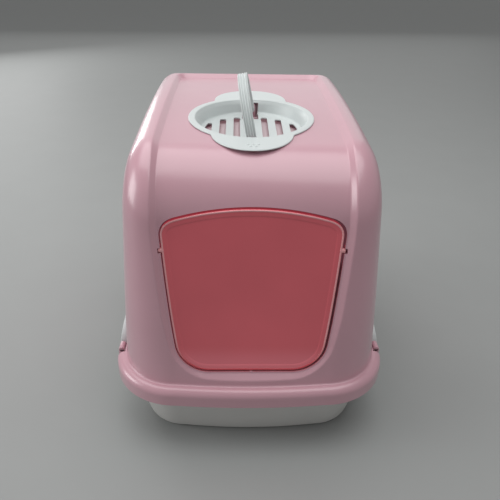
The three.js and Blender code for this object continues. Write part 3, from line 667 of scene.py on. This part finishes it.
def well_mesh():
    """The vent's well: a cup turned about the vent's axis with a ring for its floor, and the handle's two lugs."""
    outer = WELL + WELL_WALL
    under = WELL_FLOOR - WELL_WALL
    ring = [(SLOT_REACH, WELL_FLOOR), (WELL - 2, WELL_FLOOR), (WELL - 0.6, WELL_FLOOR + 0.6), (WELL, WELL_FLOOR + 2),
            (WELL, -WELL_LAP), (outer, -WELL_LAP), (outer, under + 2), (outer - 0.6, under + 0.6),
            (outer - 2, under), (SLOT_REACH, under), (SLOT_REACH, WELL_FLOOR)]
    shells = [lathe_rows(ring, count=96)]
    for side in (-1, 1):
        outline = np.concatenate([
            resample(line((-LUG_HALF, WELL_FLOOR - 1), (-LUG_HALF, -HANDLE_DROP)), 4)[:-1],
            arc((0, -HANDLE_DROP), LUG_HALF, math.pi, 0, 17),
            resample(line((LUG_HALF, -HANDLE_DROP), (LUG_HALF, WELL_FLOOR - 1)), 4)[1:]])[::-1]
        rows = plate_rows(outline, soft_edge(HANDLE + FIT, WELL + 1, 0.8))
        shells.append(np.stack([rows[..., 0], side * rows[..., 2], rows[..., 1]], -1))
    return shells_mesh("vent_well", shells, VENT_FRAME)


def ear_mesh():
    """The hinge ears at both ends of each clip: upright blocks with round tops along Y."""
    ears = []
    x, y, z = CLIP_PIVOT
    left, right, low, high = x - EAR_RADIUS, x + EAR_RADIUS, SKIRT_BOTTOM + EAR_FOOT, z + EAR_RISE
    block = np.array([(left, low), (right, low), (right, high), (left, high)])
    block = np.concatenate([line(a, b, 7)[:-1] for a, b in zip(block, np.roll(block, -1, 0))])
    for side in (-1, 1):
        for end in (-1, 1):
            near = y + end * (CLIP_LENGTH / 2 + EAR_GAP)
            start = min(near, near + end * EAR_LENGTH)
            rod = lathe_rows(rod_profile(EAR_RADIUS, EAR_LENGTH, edge=0.9), count=40)
            rows = plate_rows(block, [(0, start), (0, start + EAR_LENGTH)])
            ears += [along_y(rod, side * x, start, high),
                     np.stack([side * rows[..., 0], rows[..., 2], rows[..., 1]], -1)]
    return shells_mesh("clip_ears", ears)


def pivot_half_width():
    """Half the opening's width at the door's pivots."""
    side = opening_side(0)[2]
    return float(np.interp(PIVOT_HEIGHT, side[:, 1], side[:, 0]))


def socket_mesh():
    """The door's sockets behind the recess floor: a U-shaped trough along X and its end wall, and the sill's nub."""
    start = pivot_half_width() + FIT
    end = pivot_half_width() + PIN_REACH + DOOR_PLAY + FIT
    bore = PIN_RADIUS + PIN_CLEARANCE
    top = -WALL + 0.05
    wall = np.array([
        (-SOCKET_HALF, -SOCKET_DEPTH), (SOCKET_HALF, -SOCKET_DEPTH), (SOCKET_HALF, top), (-SOCKET_HALF, top)])
    stops = [(bore, -PIN_DEPTH), (bore, top), wall[2], wall[1], wall[0], wall[3], (-bore, top), (-bore, -PIN_DEPTH)]
    runs = [line(a, b, count)[1:] for a, b, count in zip(stops, stops[1:], (4, 4, 4, 8, 4, 4, 4))]
    trough = np.concatenate([arc((0, -PIN_DEPTH), bore, math.pi, 2 * math.pi, 17)] + runs)[:-1]

    def across(section, *ends):
        t, height = section.T
        return np.array([np.stack([x + 0 * t, t + PIVOT_HEIGHT, height], -1) for x in ends])

    socket = across(trough, start, end), closed_rows(across(wall, end, end + WALL))
    nub = lathe_rows(rod_profile(NUB, WALL, edge=0.6), count=28) + [0, SILL + NUB_RISE - NUB, -WALL]
    sockets = [rows * [side, 1, 1] for side in (-1, 1) for rows in socket]
    return shells_mesh("door_sockets", sockets + [nub], FRONT_FRAME)


# ---- Vent insert and handle ----


def scallop(angle):
    """Distance from the vent's centre to the plate's edge: the farthest of a round ring and two lobes."""
    def circle(centre, radius):
        part = centre * np.sin(angle)
        inside = radius**2 - centre**2 + part**2
        return np.where(inside > 0, part + np.sqrt(np.maximum(inside, 0)), 0.0)
    reach = [circle(0.0, RING), circle(LOBE - FRONT_LOBE, LOBE), circle(REAR_LOBE - LOBE, LOBE)]
    soft = 1.2
    return soft * np.log(sum(np.exp((r - RING) / soft) for r in reach)) + RING


def slot_web(number):
    """What closes a slot's far end, from its rounded corners out to the floor's ring."""
    middle = number * SLOT_PITCH
    reach, half_slot = SLOT_REACH + BAR_LAP, SLOT_WIDTH / 2 + BAR_LAP
    end = SLOT_LENGTH * math.sqrt(1 - (middle / SLOT_SPREAD) ** 2)
    x = np.linspace(-half_slot, min(half_slot, math.sqrt(reach**2 - (end + 1.5) ** 2) - middle), 9)
    round_part = np.clip(np.abs(x) - (SLOT_WIDTH / 2 - SLOT_CORNER), 0, SLOT_CORNER)
    near = end - SLOT_CORNER + np.sqrt(SLOT_CORNER**2 - round_part**2)
    x = x + middle
    y = mix(near, np.sqrt(reach**2 - x**2), np.array([[0.0], [1.0]]))
    return np.stack([x + 0 * y, y, INSERT_FLOOR - WEB_SINK + 0 * y], -1)


def insert_mesh():
    """The insert's top sheet, for the right half: the plate's edge, the plate bent like the roof, the bowl's wall
    and floor ring; the wall is open where the handle's lugs stand. Webs close the slots' far ends."""
    slot = math.asin(LUG_SLOT / (BOWL_FLOOR + 3))
    at_lug = 4  # columns across each half lug
    angle = spaced((-math.pi / 2, slot - math.pi / 2, math.pi / 2 - slot, math.pi / 2), (at_lug, 96, at_lug))
    spoke = np.stack([np.cos(angle), np.sin(angle)], -1)
    edge = scallop(angle)

    def plate_top(radius):
        return INSERT_TOP - (radius * spoke[:, 1]) ** 2 / (2 * ROOF_RADIUS)

    rows = [(edge - inset, plate_top(edge) - drop) for inset, drop in PLATE_EDGE]
    start, lip = edge - 3.2, BOWL + LIP_ROUND
    radii = [edge - 2.6] + [mix(start, lip, share) for share in np.linspace(0, 1, 9)]
    rows += [(radius, plate_top(radius)) for radius in radii]
    quarter = np.linspace(0, math.pi / 2, 6)[1:]
    for turn in quarter:
        rows.append((lip - LIP_ROUND * math.sin(turn) + 0 * angle, plate_top(lip) - LIP_ROUND * (1 - math.cos(turn))))
    lug_top = len(rows)

    def wall_radius(z):
        return BOWL_FLOOR + (z - INSERT_FLOOR) / BOWL_DEPTH * (BOWL - BOWL_FLOOR)

    for z in (-LUG_DROP, -6.0, -9.0, -12.0, INSERT_FLOOR + BOWL_FILLET):
        rows.append((wall_radius(z) + 0 * angle, z + 0 * angle))
    floor_radius = wall_radius(INSERT_FLOOR + BOWL_FILLET) - BOWL_FILLET
    for turn in quarter:
        rows.append((floor_radius + BOWL_FILLET * math.cos(turn) + 0 * angle,
                     INSERT_FLOOR + BOWL_FILLET * (1 - math.sin(turn)) + 0 * angle))
    rows.append((SLOT_REACH + 0 * angle, INSERT_FLOOR + 0 * angle))
    grid = np.array([np.stack([r * spoke[:, 0], r * spoke[:, 1], z], -1) for r, z in rows])[::-1]
    keep = np.ones((len(rows) - 1, len(angle) - 1), bool)
    stop = len(rows) - 1 - lug_top
    keep[:stop, :at_lug] = keep[:stop, -at_lug:] = False
    sheet = Surface()
    sheet.grid(place(mirrored(grid), VENT_FRAME), wrap=True, keep=both_halves(keep))
    half = (SLOT_PITCH - SLOT_WIDTH) / 2
    ranges = [(k * SLOT_PITCH - half, k * SLOT_PITCH + half) for k in (0.5, 1.5, 2.5)]
    for bar in slot_bars(ranges, INSERT_FLOOR - BAR_SINK, SLOT_REACH + BAR_LAP, LUG_REACH, LUG_SLOT):
        sheet.grid(place(bar, VENT_FRAME)[:, ::-1])
    for number in (1, 2, 3):
        for x, y in ((1, 1), (1, -1), (-1, 1), (-1, -1)):
            part = slot_web(number) * [x, y, 1]
            sheet.grid(place(part if x * y < 0 else part[:, ::-1], VENT_FRAME))
    return sheet.mesh("vent_grille", turn_out=False)


def dots_mesh(height):
    """Small raised dots on the plate's lobes: spherical caps, five on the front lobe and one on the rear one."""
    dots = []
    places = [(k * DOT_PITCH, -106.0, DOT) for k in (-1, 0, 1)]
    places += [(k * DOT_PITCH, -112.0, DOT) for k in (-0.5, 0.5)]
    places += [(0.0, 118.0, 1.5 * DOT)]
    for x, y, radius in places:
        low = INSERT_TOP - y**2 / (2 * ROOF_RADIUS)
        cap = [(0, low - 1), (radius, low - 1)]
        cap += [(radius * math.cos(a), low + height * math.sin(a)) for a in np.linspace(0, math.pi / 2, 7)]
        dots.append(lathe_rows(cap, count=20) + [x, y, 0])
    return shells_mesh("lobe_dots", dots, VENT_FRAME)


def handle_mesh(ridges):
    """The bail: a rounded section with raised lengthwise ridges on its outer face, carried round half a circle,
    with a round foot and a pin at each end; leaned about its pivots."""
    half_r, half_x, soft = HANDLE_BAR / 2, HANDLE_WIDTH / 2, HANDLE_SOFT
    top = np.linspace(-1, 1, 16 * ridges + 1)
    out = RIDGE * np.abs(np.cos(top * math.pi * ridges / 2))
    parts = [np.stack([top * (half_x - soft), half_r - RIDGE + out], -1)]
    for x, r, first in ((1, 1, math.pi / 2), (1, -1, 0), (-1, -1, -math.pi / 2), (-1, 1, -math.pi)):
        turn = np.linspace(first, first - math.pi / 2, 6)
        parts.append(np.stack(
            [x * (half_x - soft) + soft * np.cos(turn), r * (half_r - soft) + soft * np.sin(turn)], -1))
    section = np.concatenate(parts)
    turn = np.linspace(0, math.pi, 97)[:, None]
    radius = HANDLE - HANDLE_BAR / 2 + section[None, :, 1] - RIDGE_DROP
    rows = np.stack([section[None, :, 0] + 0 * turn, -radius * np.cos(turn), radius * np.sin(turn)], -1)
    shells = [closed_rows(rows)]
    near = HANDLE - HANDLE_BAR
    for side in (-1, 1):
        foot = lathe_rows(rod_profile(half_x, HANDLE_BAR, edge=1.2), count=40)
        pin = lathe_rows(rod_profile(HANDLE_PIN, HANDLE_BAR + HANDLE_PIN_REACH - 1, edge=0.5), count=24)
        shells.append(along_y(foot, 0, near, 0) * [1, side, 1])
        shells.append(along_y(pin, 0, near + 1, 0) * [1, side, 1])
    leaned = [rows @ about_y(HANDLE_LEAN).T + [0, 0, -HANDLE_DROP] for rows in shells]
    return shells_mesh("bail", leaned, VENT_FRAME)


# ---- Door ----


def door_outline():
    """The door's outline about its pivots: the opening drawn in by the gaps."""
    flat, corner, side = opening_side(-DOOR_GAP)
    arch = opening_arch(-DOOR_GAP, -DOOR_TOP_GAP)
    half = chain([(flat, 14), (corner, 18), (side, 34), (arch[0], 16), (arch[1], 26)])
    left = half[-2:0:-1] * [-1, 1]
    return np.concatenate([half, left]) - [0, PIVOT_HEIGHT]


def on_front(rows):
    """Rows about the door's pivots, put where the door hangs in the opening."""
    return place(rows + [-DOOR_PLAY, PIVOT_HEIGHT, -PIN_DEPTH], FRONT_FRAME)


def door_leaf_mesh(step):
    """The door's leaf: its outline drawn in by a stepped profile, with a flat band around a slightly lower panel."""
    top = DOOR_LEAF
    profile = [(9.0, 0), (1.2, 0), (1.2, top), (2.9, top), (7.4, top), (7.9, top - 0.12), (8.5, top - step + 0.1),
               (9.1, top - step), (10.2, top - step)]
    return shells_mesh("door_leaf", [on_front(plate_rows(door_outline(), profile))])


def door_edge_mesh():
    """The rim's outer side, where light gathers: a thin band carried round the outline, with a lip behind."""
    front = DOOR_RIM / 2 - 0.9
    section = [(EDGE_WALL, -EDGE_REACH), (-0.1, -EDGE_REACH), (-0.1, front), (EDGE_WALL, front)]
    return shells_mesh("door_edge", [on_front(plate_rows(door_outline(), section + section[:1])[1:-1])])


def door_rim_mesh():
    """The door's rim: a rounded section carried round the outline, and a pin on each side."""
    deep = DOOR_RIM / 2
    section = [
        (2.1, -deep + 0.6), (1.6, -deep), (0.6, -deep), (0.15, -deep + 0.3), (0, -deep + 0.9), (0, deep - 0.9),
        (0.15, deep - 0.3), (0.6, deep), (1.5, deep), (2.1, deep - 0.25), (2.5, DOOR_LEAF), (2.6, 0), (2.4, -0.5)]
    rim = plate_rows(door_outline(), section + section[:1])[1:-1]
    reach = pivot_half_width() + PIN_REACH
    inside = pivot_half_width() - DOOR_GAP - DOOR_LEAF
    pin = along_x(lathe_rows(rod_profile(PIN_RADIUS, reach - inside, edge=0.6), count=32), inside, 0, 0)
    return shells_mesh("door_rim", [on_front(rows) for rows in (rim, pin * [-1, 1, 1], pin)])


# ---- Side clips ----


def clip_mesh(side):
    """A clip: a half-elliptic plate with a turned-in rim and a raised bead along its edge, on a hinge barrel with
    a pin at each end."""
    half = CLIP_LENGTH / 2
    a = np.linspace(0, math.pi, 61)
    arch = np.stack([half * np.cos(a), CLIP_HEIGHT * np.sin(a)], -1)
    outline = resample(np.concatenate([line((-half, 0), (half, 0), 40), arch[1:]]), 120)[:-1]
    top = CLIP_PLATE
    profile = [(4, 0.0), (2.4, 0), (2.2, -0.3), (2.0, -CLIP_RIM), (0.3, -CLIP_RIM), (0, 0.3 - CLIP_RIM), (0, top - 0.8),
               (0.25, top - 0.25), (0.8, top), (3.4, top), (3.7, top - 0.15), (4.0, top - 0.6), (4.4, top - 0.7)]
    rows = plate_rows(outline, profile)
    plate = np.stack([rows[..., 2] + BARREL - CLIP_PLATE, rows[..., 0], rows[..., 1]], -1)
    barrel = along_y(lathe_rows(rod_profile(BARREL, CLIP_LENGTH, edge=0.8), count=40), 0, -half, 0)
    pin = lathe_rows(rod_profile(CLIP_PIN, CLIP_LENGTH + 2 * CLIP_PIN_REACH, edge=0.5), count=24)
    pin = along_y(pin, 0, -half - CLIP_PIN_REACH, 0)
    shells = [(rows @ about_y(-CLIP_LEAN).T + CLIP_PIVOT) * [side, 1, 1] for rows in (plate, barrel, pin)]
    return shells_mesh("clip_plate", shells)


# ---- Tray ----


def tray_mesh():
    """The tray's upper sheet, for the right half: floor, rounded edge, drafted wall, rim, roll and lip. The wall
    mixes the floor's plan into the hood wall's plan with height."""
    front, turn_steps, notch = 12, 14, 24
    where = spaced((0, 1, CLIP_FROM, CLIP_TO, 3, 4, 5), (front, turn_steps, notch, 20, 16, 12))
    top = (WALL_HALF_WIDTH, WALL_HALF_LENGTH, PLAN_CORNER - FLANGE, PLAN_BOW)

    def wall(inset, z):
        half_width, half_length, corner, bow = (mix(a, b, z / TRAY_TOP) for a, b in zip(TRAY_BOTTOM, top))
        return at_height(plan(where, half_width - inset, half_length - inset, corner - inset, bow), z)

    inner = TRAY_EDGE - TRAY_WALL
    rows = [wall(TRAY_WALL + inner, TRAY_WALL) * [share, share, 1] for share in (0, 0.2, 0.5, 0.8, 0.95)]
    rows += [wall(TRAY_WALL + inner * (1 - math.sin(turn)), TRAY_WALL + inner * (1 - math.cos(turn)))
             for turn in np.linspace(0, math.pi / 2, 6)]
    rows += [wall(TRAY_WALL, z) for z in np.linspace(12, TRAY_TOP - 6, 8)]
    start = wall(TRAY_WALL, TRAY_TOP - 2.5)
    turn_at, end = (box_plan(where, FLANGE + TRAY_WALL - back, TRAY_TOP) for back in (0, 2.5))
    rows += list(fillet(start, turn_at, end, 5))
    cut_from = len(rows)
    rows.append(box_plan(where, HALF_WIDTH - (CLIP_PIVOT[0] - BARREL - 1.5), TRAY_TOP))
    radius = ROLL - RIM_INSET
    rows += [box_plan(where, inset, z) for inset, z in roll_steps(radius, ROLL, TRAY_TOP - radius, 8)]
    rows += [box_plan(where, RIM_INSET, TRAY_TOP - radius - drop) for drop in (3, TRAY_LIP - 0.8, TRAY_LIP)]
    keep = np.ones((len(rows) - 1, len(where) - 1), bool)
    keep[cut_from:, front + turn_steps:front + turn_steps + notch] = False
    sheet = Surface()
    sheet.grid(mirrored(np.array(rows)), wrap=True, keep=both_halves(keep))
    return sheet.mesh("tray_shell", turn_out=False)


# ---- Materials ----

GRAIN_STRENGTH, GRAIN_DEPTH = 0.02, 0.0004
MOTTLE_NOISE, SMUDGE_NOISE, GRAIN_NOISE = (9, 2), (38, 4), (900, 2)  # scale and detail
FLOOR_PAINT = (0.32, 0.33, 0.325)
LEAF_FADE, RIM_FADE = (136, 166), (128, 180)  # heights between which the door's foot colour goes over: painted light on the leaf, painted shade on the rim


def add_node(tree, kind, inputs=(), **settings):
    """New shader node; each (socket, value) pair in inputs sets the socket's value or links another socket to it."""
    node = tree.nodes.new("ShaderNode" + kind)
    for name, value in settings.items():
        setattr(node, name, value)
    for socket, value in inputs:
        if isinstance(value, bpy.types.NodeSocket):
            tree.links.new(value, node.inputs[socket])
        else:
            node.inputs[socket].default_value = value
    return node


def moulded_skin():
    """Shader group for moulded plastic: a slow mottle, a fine grain and faint smudges from Object coordinates."""
    group = bpy.data.node_groups.get("moulded skin")
    if group:
        return group
    group = bpy.data.node_groups.new("moulded skin", "ShaderNodeTree")
    for name in ("Mottle", "Roughness", "Smudge"):
        group.interface.new_socket(name, in_out="INPUT", socket_type="NodeSocketFloat")
    group.interface.new_socket("Colour", in_out="INPUT", socket_type="NodeSocketColor")
    group.interface.new_socket("Colour", in_out="OUTPUT", socket_type="NodeSocketColor")
    for name in ("Roughness", "Grain"):
        group.interface.new_socket(name, in_out="OUTPUT", socket_type="NodeSocketFloat")
    given, made = group.nodes.new("NodeGroupInput").outputs, group.nodes.new("NodeGroupOutput").inputs
    spot = add_node(group, "TexCoord").outputs["Object"]
    slow, smudge, grain = (
        add_node(group, "TexNoise", [("Vector", spot), ("Scale", scale), ("Detail", detail)]).outputs["Fac"]
        for scale, detail in (MOTTLE_NOISE, SMUDGE_NOISE, GRAIN_NOISE))
    spread = add_node(group, "MapRange", [
        ("Value", slow), ("From Min", 0.3), ("From Max", 0.7), ("To Min", -1), ("To Max", 1)]).outputs["Result"]
    gain = add_node(group, "Math", [(0, spread), (1, given["Mottle"]), (2, 1.0)], operation="MULTIPLY_ADD").outputs[0]
    tone = add_node(group, "VectorMath", [(0, given["Colour"]), ("Scale", gain)], operation="SCALE").outputs[0]
    centred = add_node(group, "Math", [(0, smudge), (1, 0.5)], operation="SUBTRACT").outputs[0]
    rough = add_node(group, "Math", [(0, centred), (1, given["Smudge"]), (2, given["Roughness"])],
                     operation="MULTIPLY_ADD").outputs[0]
    for name, value in (("Colour", tone), ("Roughness", rough), ("Grain", grain)):
        group.links.new(value, made[name])
    return group


def faded(tree, colour, foot_colour, low, high):
    """Colour that is the foot's up to a low height and goes over to the full one at a high height."""
    height = add_node(tree, "SeparateXYZ", [(0, add_node(tree, "TexCoord").outputs["Object"])]).outputs["Z"]
    share = add_node(tree, "MapRange", [("Value", height), ("From Min", low * MM), ("From Max", high * MM)],
                     interpolation_type="SMOOTHSTEP").outputs["Result"]
    return add_node(tree, "Mix", [(0, share), (6, (*foot_colour, 1)), (7, (*colour, 1))], data_type="RGBA").outputs[2]


def plastic(name, colour, roughness, mottle=0.02, smudge=0.08, foot=None, **plain):
    """Moulded plastic from the shared group; plain values go straight onto the shader's own sockets. A foot is a
    second colour, the height that it reaches and the height above which the first one is full."""
    material = bpy.data.materials.get(name)
    if material:
        return material
    material = bpy.data.materials.new(name)
    material.use_nodes = True
    tree = material.node_tree
    tint = faded(tree, colour, *foot) if foot else (*colour, 1)
    skin = add_node(tree, "Group", [("Mottle", mottle), ("Roughness", roughness), ("Smudge", smudge), ("Colour", tint)],
                    node_tree=moulded_skin())
    bump = add_node(tree, "Bump", [
        ("Strength", GRAIN_STRENGTH), ("Distance", GRAIN_DEPTH), ("Height", skin.outputs["Grain"])])
    shader = tree.nodes["Principled BSDF"]
    for node, output, socket in (
            (skin, "Colour", "Base Color"), (skin, "Roughness", "Roughness"), (bump, "Normal", "Normal")):
        tree.links.new(node.outputs[output], shader.inputs[socket])
    for socket, value in plain.items():
        shader.inputs[socket.replace("_", " ")].default_value = value
    return material


def glowing(name, colour, glow, roughness):
    """Plastic that gives off a little light, where light comes through it."""
    return plastic(name, colour, roughness, Emission_Color=(*glow, 1), Emission_Strength=1.0)


def white_plastic(context):
    """The plastic that the insert, the handle and the clips share."""
    return plastic("white plastic", context.scene.litter_box_colours.white, roughness=0.34)


# ---- Pieces ----

SHARP = math.radians(50)  # an edge that turns more than this is rounded
EDGE_ROUND, PLATE_ROUND = 0.4, 0.3


def new_piece(name, mesh, material, body, node, wall=0.0, edge=0.0, inside=None):
    """Puts a mesh in the scene with its wall, soft edges and material, and ties it to the frame; a wall's inner
    side may have a material of its own."""
    piece = bpy.data.objects.new(name, mesh)
    bpy.context.scene.collection.objects.link(piece)
    mesh.name = name
    mesh.materials.clear()
    mesh.materials.append(material)
    if wall:
        solid = piece.modifiers.new("wall", "SOLIDIFY")
        solid.thickness, solid.offset, solid.use_even_offset, solid.use_rim = wall * MM, -1, False, True
        if inside:
            mesh.materials.append(inside)
            solid.material_offset = 1
    if edge:
        round_edges = piece.modifiers.new("edges", "BEVEL")
        round_edges.width, round_edges.segments, round_edges.limit_method = edge * MM, 2, "ANGLE"
        round_edges.angle_limit, round_edges.use_clamp_overlap = SHARP, True
        piece.modifiers.new("shading", "WEIGHTED_NORMAL").keep_sharp = True
    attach(piece, body)
    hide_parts(node)
    return piece


def length_property(name, description, default, low, high):
    """A length that the user may change."""
    return FloatProperty(name=name, description=description, default=default, min=low, max=high, unit="LENGTH")


def colour_property(name, description, *default):
    """A colour that the user may change."""
    return FloatVectorProperty(
        name=name, description=description, subtype="COLOR", size=3, default=default, min=0, max=1)


class LitterBoxSizes(bpy.types.PropertyGroup):
    """Sizes of the moulded details."""

    recess_softness: length_property(
        "Recess softness", "How far the recess's upper edge is rounded", 0.0016, 0.0005, 0.005)
    door_step: length_property(
        "Door step", "How far the door's panel lies below the band around it", 0.0006, 0, 0.002)
    dot_height: length_property(
        "Dot height", "Height of the small dots on the vent plate's lobes", 0.0008, 0.0002, 0.002)
    handle_ridges: IntProperty(
        name="Handle ridges", description="Lengthwise ridges on the handle", default=3, min=1, max=8)


class LitterBoxColours(bpy.types.PropertyGroup):
    """Colours of the plastics."""

    pink: colour_property("Hood", "Colour of the hood", 0.61, 0.34, 0.40)
    white: colour_property("Insert", "Colour of the insert, handle and clips", 0.63, 0.675, 0.67)
    tray: colour_property("Tray", "Colour of the tray", 0.63, 0.62, 0.60)
    door: colour_property("Door", "Colour of the door", 0.76, 0.145, 0.175)
    # Painted light: the door's lowest part is painted lighter than the rest of the door.
    door_foot_light: colour_property("Door foot", "Colour of the door's lowest part", 0.84, 0.21, 0.25)
    # The rim's pale colour is a painted highlight, and its darker foot is painted shade where that highlight fades.
    rim_foot_shade: colour_property("Rim foot", "Colour of the door's rim at its foot", 0.60, 0.07, 0.09)
    rim: colour_property("Door rim", "Colour of the door's rim, where light gathers", 0.86, 0.40, 0.42)
    # Painted light: the well bars are painted pale grey to stand in for the light seen on them through the vent's
    # slots.
    painted_bar_light: colour_property("Well bars", "Colour of the dusty bars under the vent's slots", 0.46, 0.42, 0.43)
    bar_glow: colour_property("Bar glow", "Light that comes through the well's wall to its bars", 0.15, 0.08, 0.09)
    glow: colour_property("Glow", "Light that comes through the hood's wall to its inside", 0.045, 0.018, 0.023)
    edge_glow: colour_property("Edge glow", "Light that gathers at the door's clear edge", 0.17, 0.016, 0.024)


class LITTERBOX_OT_tray(bpy.types.Operator):
    """Makes the open tray."""

    bl_idname = "litter_box.tray"
    bl_label = "Tray"

    def execute(self, context):
        material = plastic("tray plastic", context.scene.litter_box_colours.tray, roughness=0.38)
        new_piece("tray", tray_mesh(), material, "box", "litter_tray", TRAY_WALL, EDGE_ROUND)
        return {"FINISHED"}


class LITTERBOX_OT_hood(bpy.types.Operator):
    """Makes the hood's shell, its vent well, its clip ears and the door's sockets."""

    bl_idname = "litter_box.hood"
    bl_label = "Hood"

    def execute(self, context):
        colours = context.scene.litter_box_colours
        material = plastic("hood plastic", colours.pink, roughness=0.34, Coat_Weight=0.9, Coat_Roughness=0.22)
        soft = context.scene.litter_box_sizes.recess_softness / MM
        inside = glowing("hood inside", colours.pink, colours.glow, roughness=0.45)
        new_piece("hood_shell", hood_mesh(soft), material, "box", "hood", WALL, EDGE_ROUND, inside)
        for make in (well_mesh, ear_mesh, socket_mesh):
            mesh = make()
            new_piece(mesh.name, mesh, material, "box", "hood")
        # The well bars' pale colour and their glow are painted light, for the light seen through the vent's slots.
        lit = glowing("dusty hood plastic", colours.painted_bar_light, colours.bar_glow, roughness=0.6)
        new_piece("well_bars", well_bars_mesh(), lit, "box", "hood")
        return {"FINISHED"}


class LITTERBOX_OT_door(bpy.types.Operator):
    """Makes the swing door."""

    bl_idname = "litter_box.door"
    bl_label = "Swing door"

    def execute(self, context):
        colours = context.scene.litter_box_colours
        step = context.scene.litter_box_sizes.door_step / MM
        # The leaf is painted lighter towards its foot: painted light.
        leaf = plastic("door plastic", colours.door, roughness=0.3, mottle=0.04, foot=(colours.door_foot_light, *LEAF_FADE))
        # The rim is painted pale as a highlight and darker towards its foot as painted shade.
        rim = plastic("door rim highlight plastic", colours.rim, roughness=0.25, foot=(colours.rim_foot_shade, *RIM_FADE))
        new_piece("door_leaf", door_leaf_mesh(step), leaf, "door", "swing_door")
        new_piece("door_rim", door_rim_mesh(), rim, "door", "swing_door")
        edge = glowing("door edge plastic", colours.door, colours.edge_glow, roughness=0.4)
        new_piece("door_edge", door_edge_mesh(), edge, "door", "swing_door")
        return {"FINISHED"}


class LITTERBOX_OT_insert(bpy.types.Operator):
    """Makes the vent insert."""

    bl_idname = "litter_box.insert"
    bl_label = "Vent insert"

    def execute(self, context):
        material = white_plastic(context)
        height = context.scene.litter_box_sizes.dot_height / MM
        new_piece("vent_grille", insert_mesh(), material, "box", "vent_insert", PLATE, PLATE_ROUND)
        new_piece("lobe_dots", dots_mesh(height), material, "box", "vent_insert")
        return {"FINISHED"}


class LITTERBOX_OT_handle(bpy.types.Operator):
    """Makes the folding handle."""

    bl_idname = "litter_box.handle"
    bl_label = "Handle"

    def execute(self, context):
        mesh = handle_mesh(context.scene.litter_box_sizes.handle_ridges)
        new_piece("bail", mesh, white_plastic(context), "handle", "carry_handle")
        return {"FINISHED"}


class LITTERBOX_OT_clips(bpy.types.Operator):
    """Makes both side clips."""

    bl_idname = "litter_box.clips"
    bl_label = "Side clips"

    def execute(self, context):
        for side, name in ((-1, "left"), (1, "right")):
            new_piece(f"clip_{name}", clip_mesh(side), white_plastic(context), f"{name}_clip",
                      f"side_clip_{name}")
        return {"FINISHED"}


def lamp(name, spot, width, height, power):
    """Soft area lamp that looks at the middle of the box."""
    data = bpy.data.lights.new(name, "AREA")
    data.shape, data.size, data.size_y, data.energy = "RECTANGLE", width, height, power
    light = bpy.data.objects.new(name, data)
    light.location = spot
    light.rotation_euler = (Vector(LAMP_TARGET) - Vector(spot)).to_track_quat("-Z", "Y").to_euler()
    bpy.context.scene.collection.objects.link(light)


class LITTERBOX_OT_stage(bpy.types.Operator):
    """Makes the floor, the light and the camera."""

    bl_idname = "litter_box.stage"
    bl_label = "Stage"

    def execute(self, context):
        scene = context.scene
        ground = Surface()
        x, y = np.meshgrid(*2 * [np.linspace(-FLOOR_REACH, FLOOR_REACH, 5)])
        ground.grid(np.stack([x, y, 0 * x - FLOOR_DROP], -1)[:, ::-1])
        floor = bpy.data.objects.new("floor", ground.mesh("floor", turn_out=False))
        scene.collection.objects.link(floor)
        floor.data.materials.append(plastic("floor paint", FLOOR_PAINT, roughness=0.6, mottle=0.01, smudge=0.02))

        world = bpy.data.worlds.new("soft room")
        world.use_nodes = True
        sky = world.node_tree.nodes["Background"].inputs
        sky["Color"].default_value, sky["Strength"].default_value = (1, 1, 1, 1), ROOM_LIGHT
        scene.world = world
        for values in LAMPS:
            lamp(*values)

        view = bpy.data.cameras.new("camera")
        view.lens, view.sensor_width = CAMERA_LENS, CAMERA_SENSOR
        view.clip_start, view.clip_end = 0.05, 50
        camera = bpy.data.objects.new("camera", view)
        turn = Matrix.Rotation(-CAMERA_YAW, 4, "Z") @ Matrix.Rotation(math.pi / 2 - CAMERA_PITCH, 4, "X")
        camera.matrix_world = Matrix.Translation(CAMERA_PLACE) @ turn @ Matrix.Rotation(CAMERA_ROLL, 4, "Z")
        scene.collection.objects.link(camera)
        scene.camera = camera
        scene.view_settings.view_transform = "Standard"
        return {"FINISHED"}


class LITTERBOX_PT_panel(bpy.types.Panel):
    """Lists the sizes, the colours and the pieces."""

    bl_idname = "LITTERBOX_PT_panel"
    bl_label = "Litter Box"
    bl_space_type = "VIEW_3D"
    bl_region_type = "UI"
    bl_category = "Litter Box"

    def draw(self, context):
        for group in (context.scene.litter_box_sizes, context.scene.litter_box_colours):
            for name in group.__annotations__:
                self.layout.prop(group, name)
        for operator in OPERATORS:
            self.layout.operator(operator.bl_idname)


OPERATORS = (
    LITTERBOX_OT_stage, LITTERBOX_OT_tray, LITTERBOX_OT_hood, LITTERBOX_OT_door, LITTERBOX_OT_insert,
    LITTERBOX_OT_handle, LITTERBOX_OT_clips)
CLASSES = (LitterBoxSizes, LitterBoxColours, *OPERATORS, LITTERBOX_PT_panel)


def register():
    for kind in CLASSES:
        bpy.utils.register_class(kind)
    bpy.types.Scene.litter_box_sizes = PointerProperty(type=LitterBoxSizes)
    bpy.types.Scene.litter_box_colours = PointerProperty(type=LitterBoxColours)


def unregister():
    del bpy.types.Scene.litter_box_sizes, bpy.types.Scene.litter_box_colours
    for kind in reversed(CLASSES):
        bpy.utils.unregister_class(kind)


def main():
    register()
    bpy.ops.litter_box.stage()
    bpy.ops.litter_box.tray()
    bpy.ops.litter_box.hood()
    bpy.ops.litter_box.door()
    bpy.ops.litter_box.insert()
    bpy.ops.litter_box.handle()
    bpy.ops.litter_box.clips()


if __name__ == "__main__":
    main()
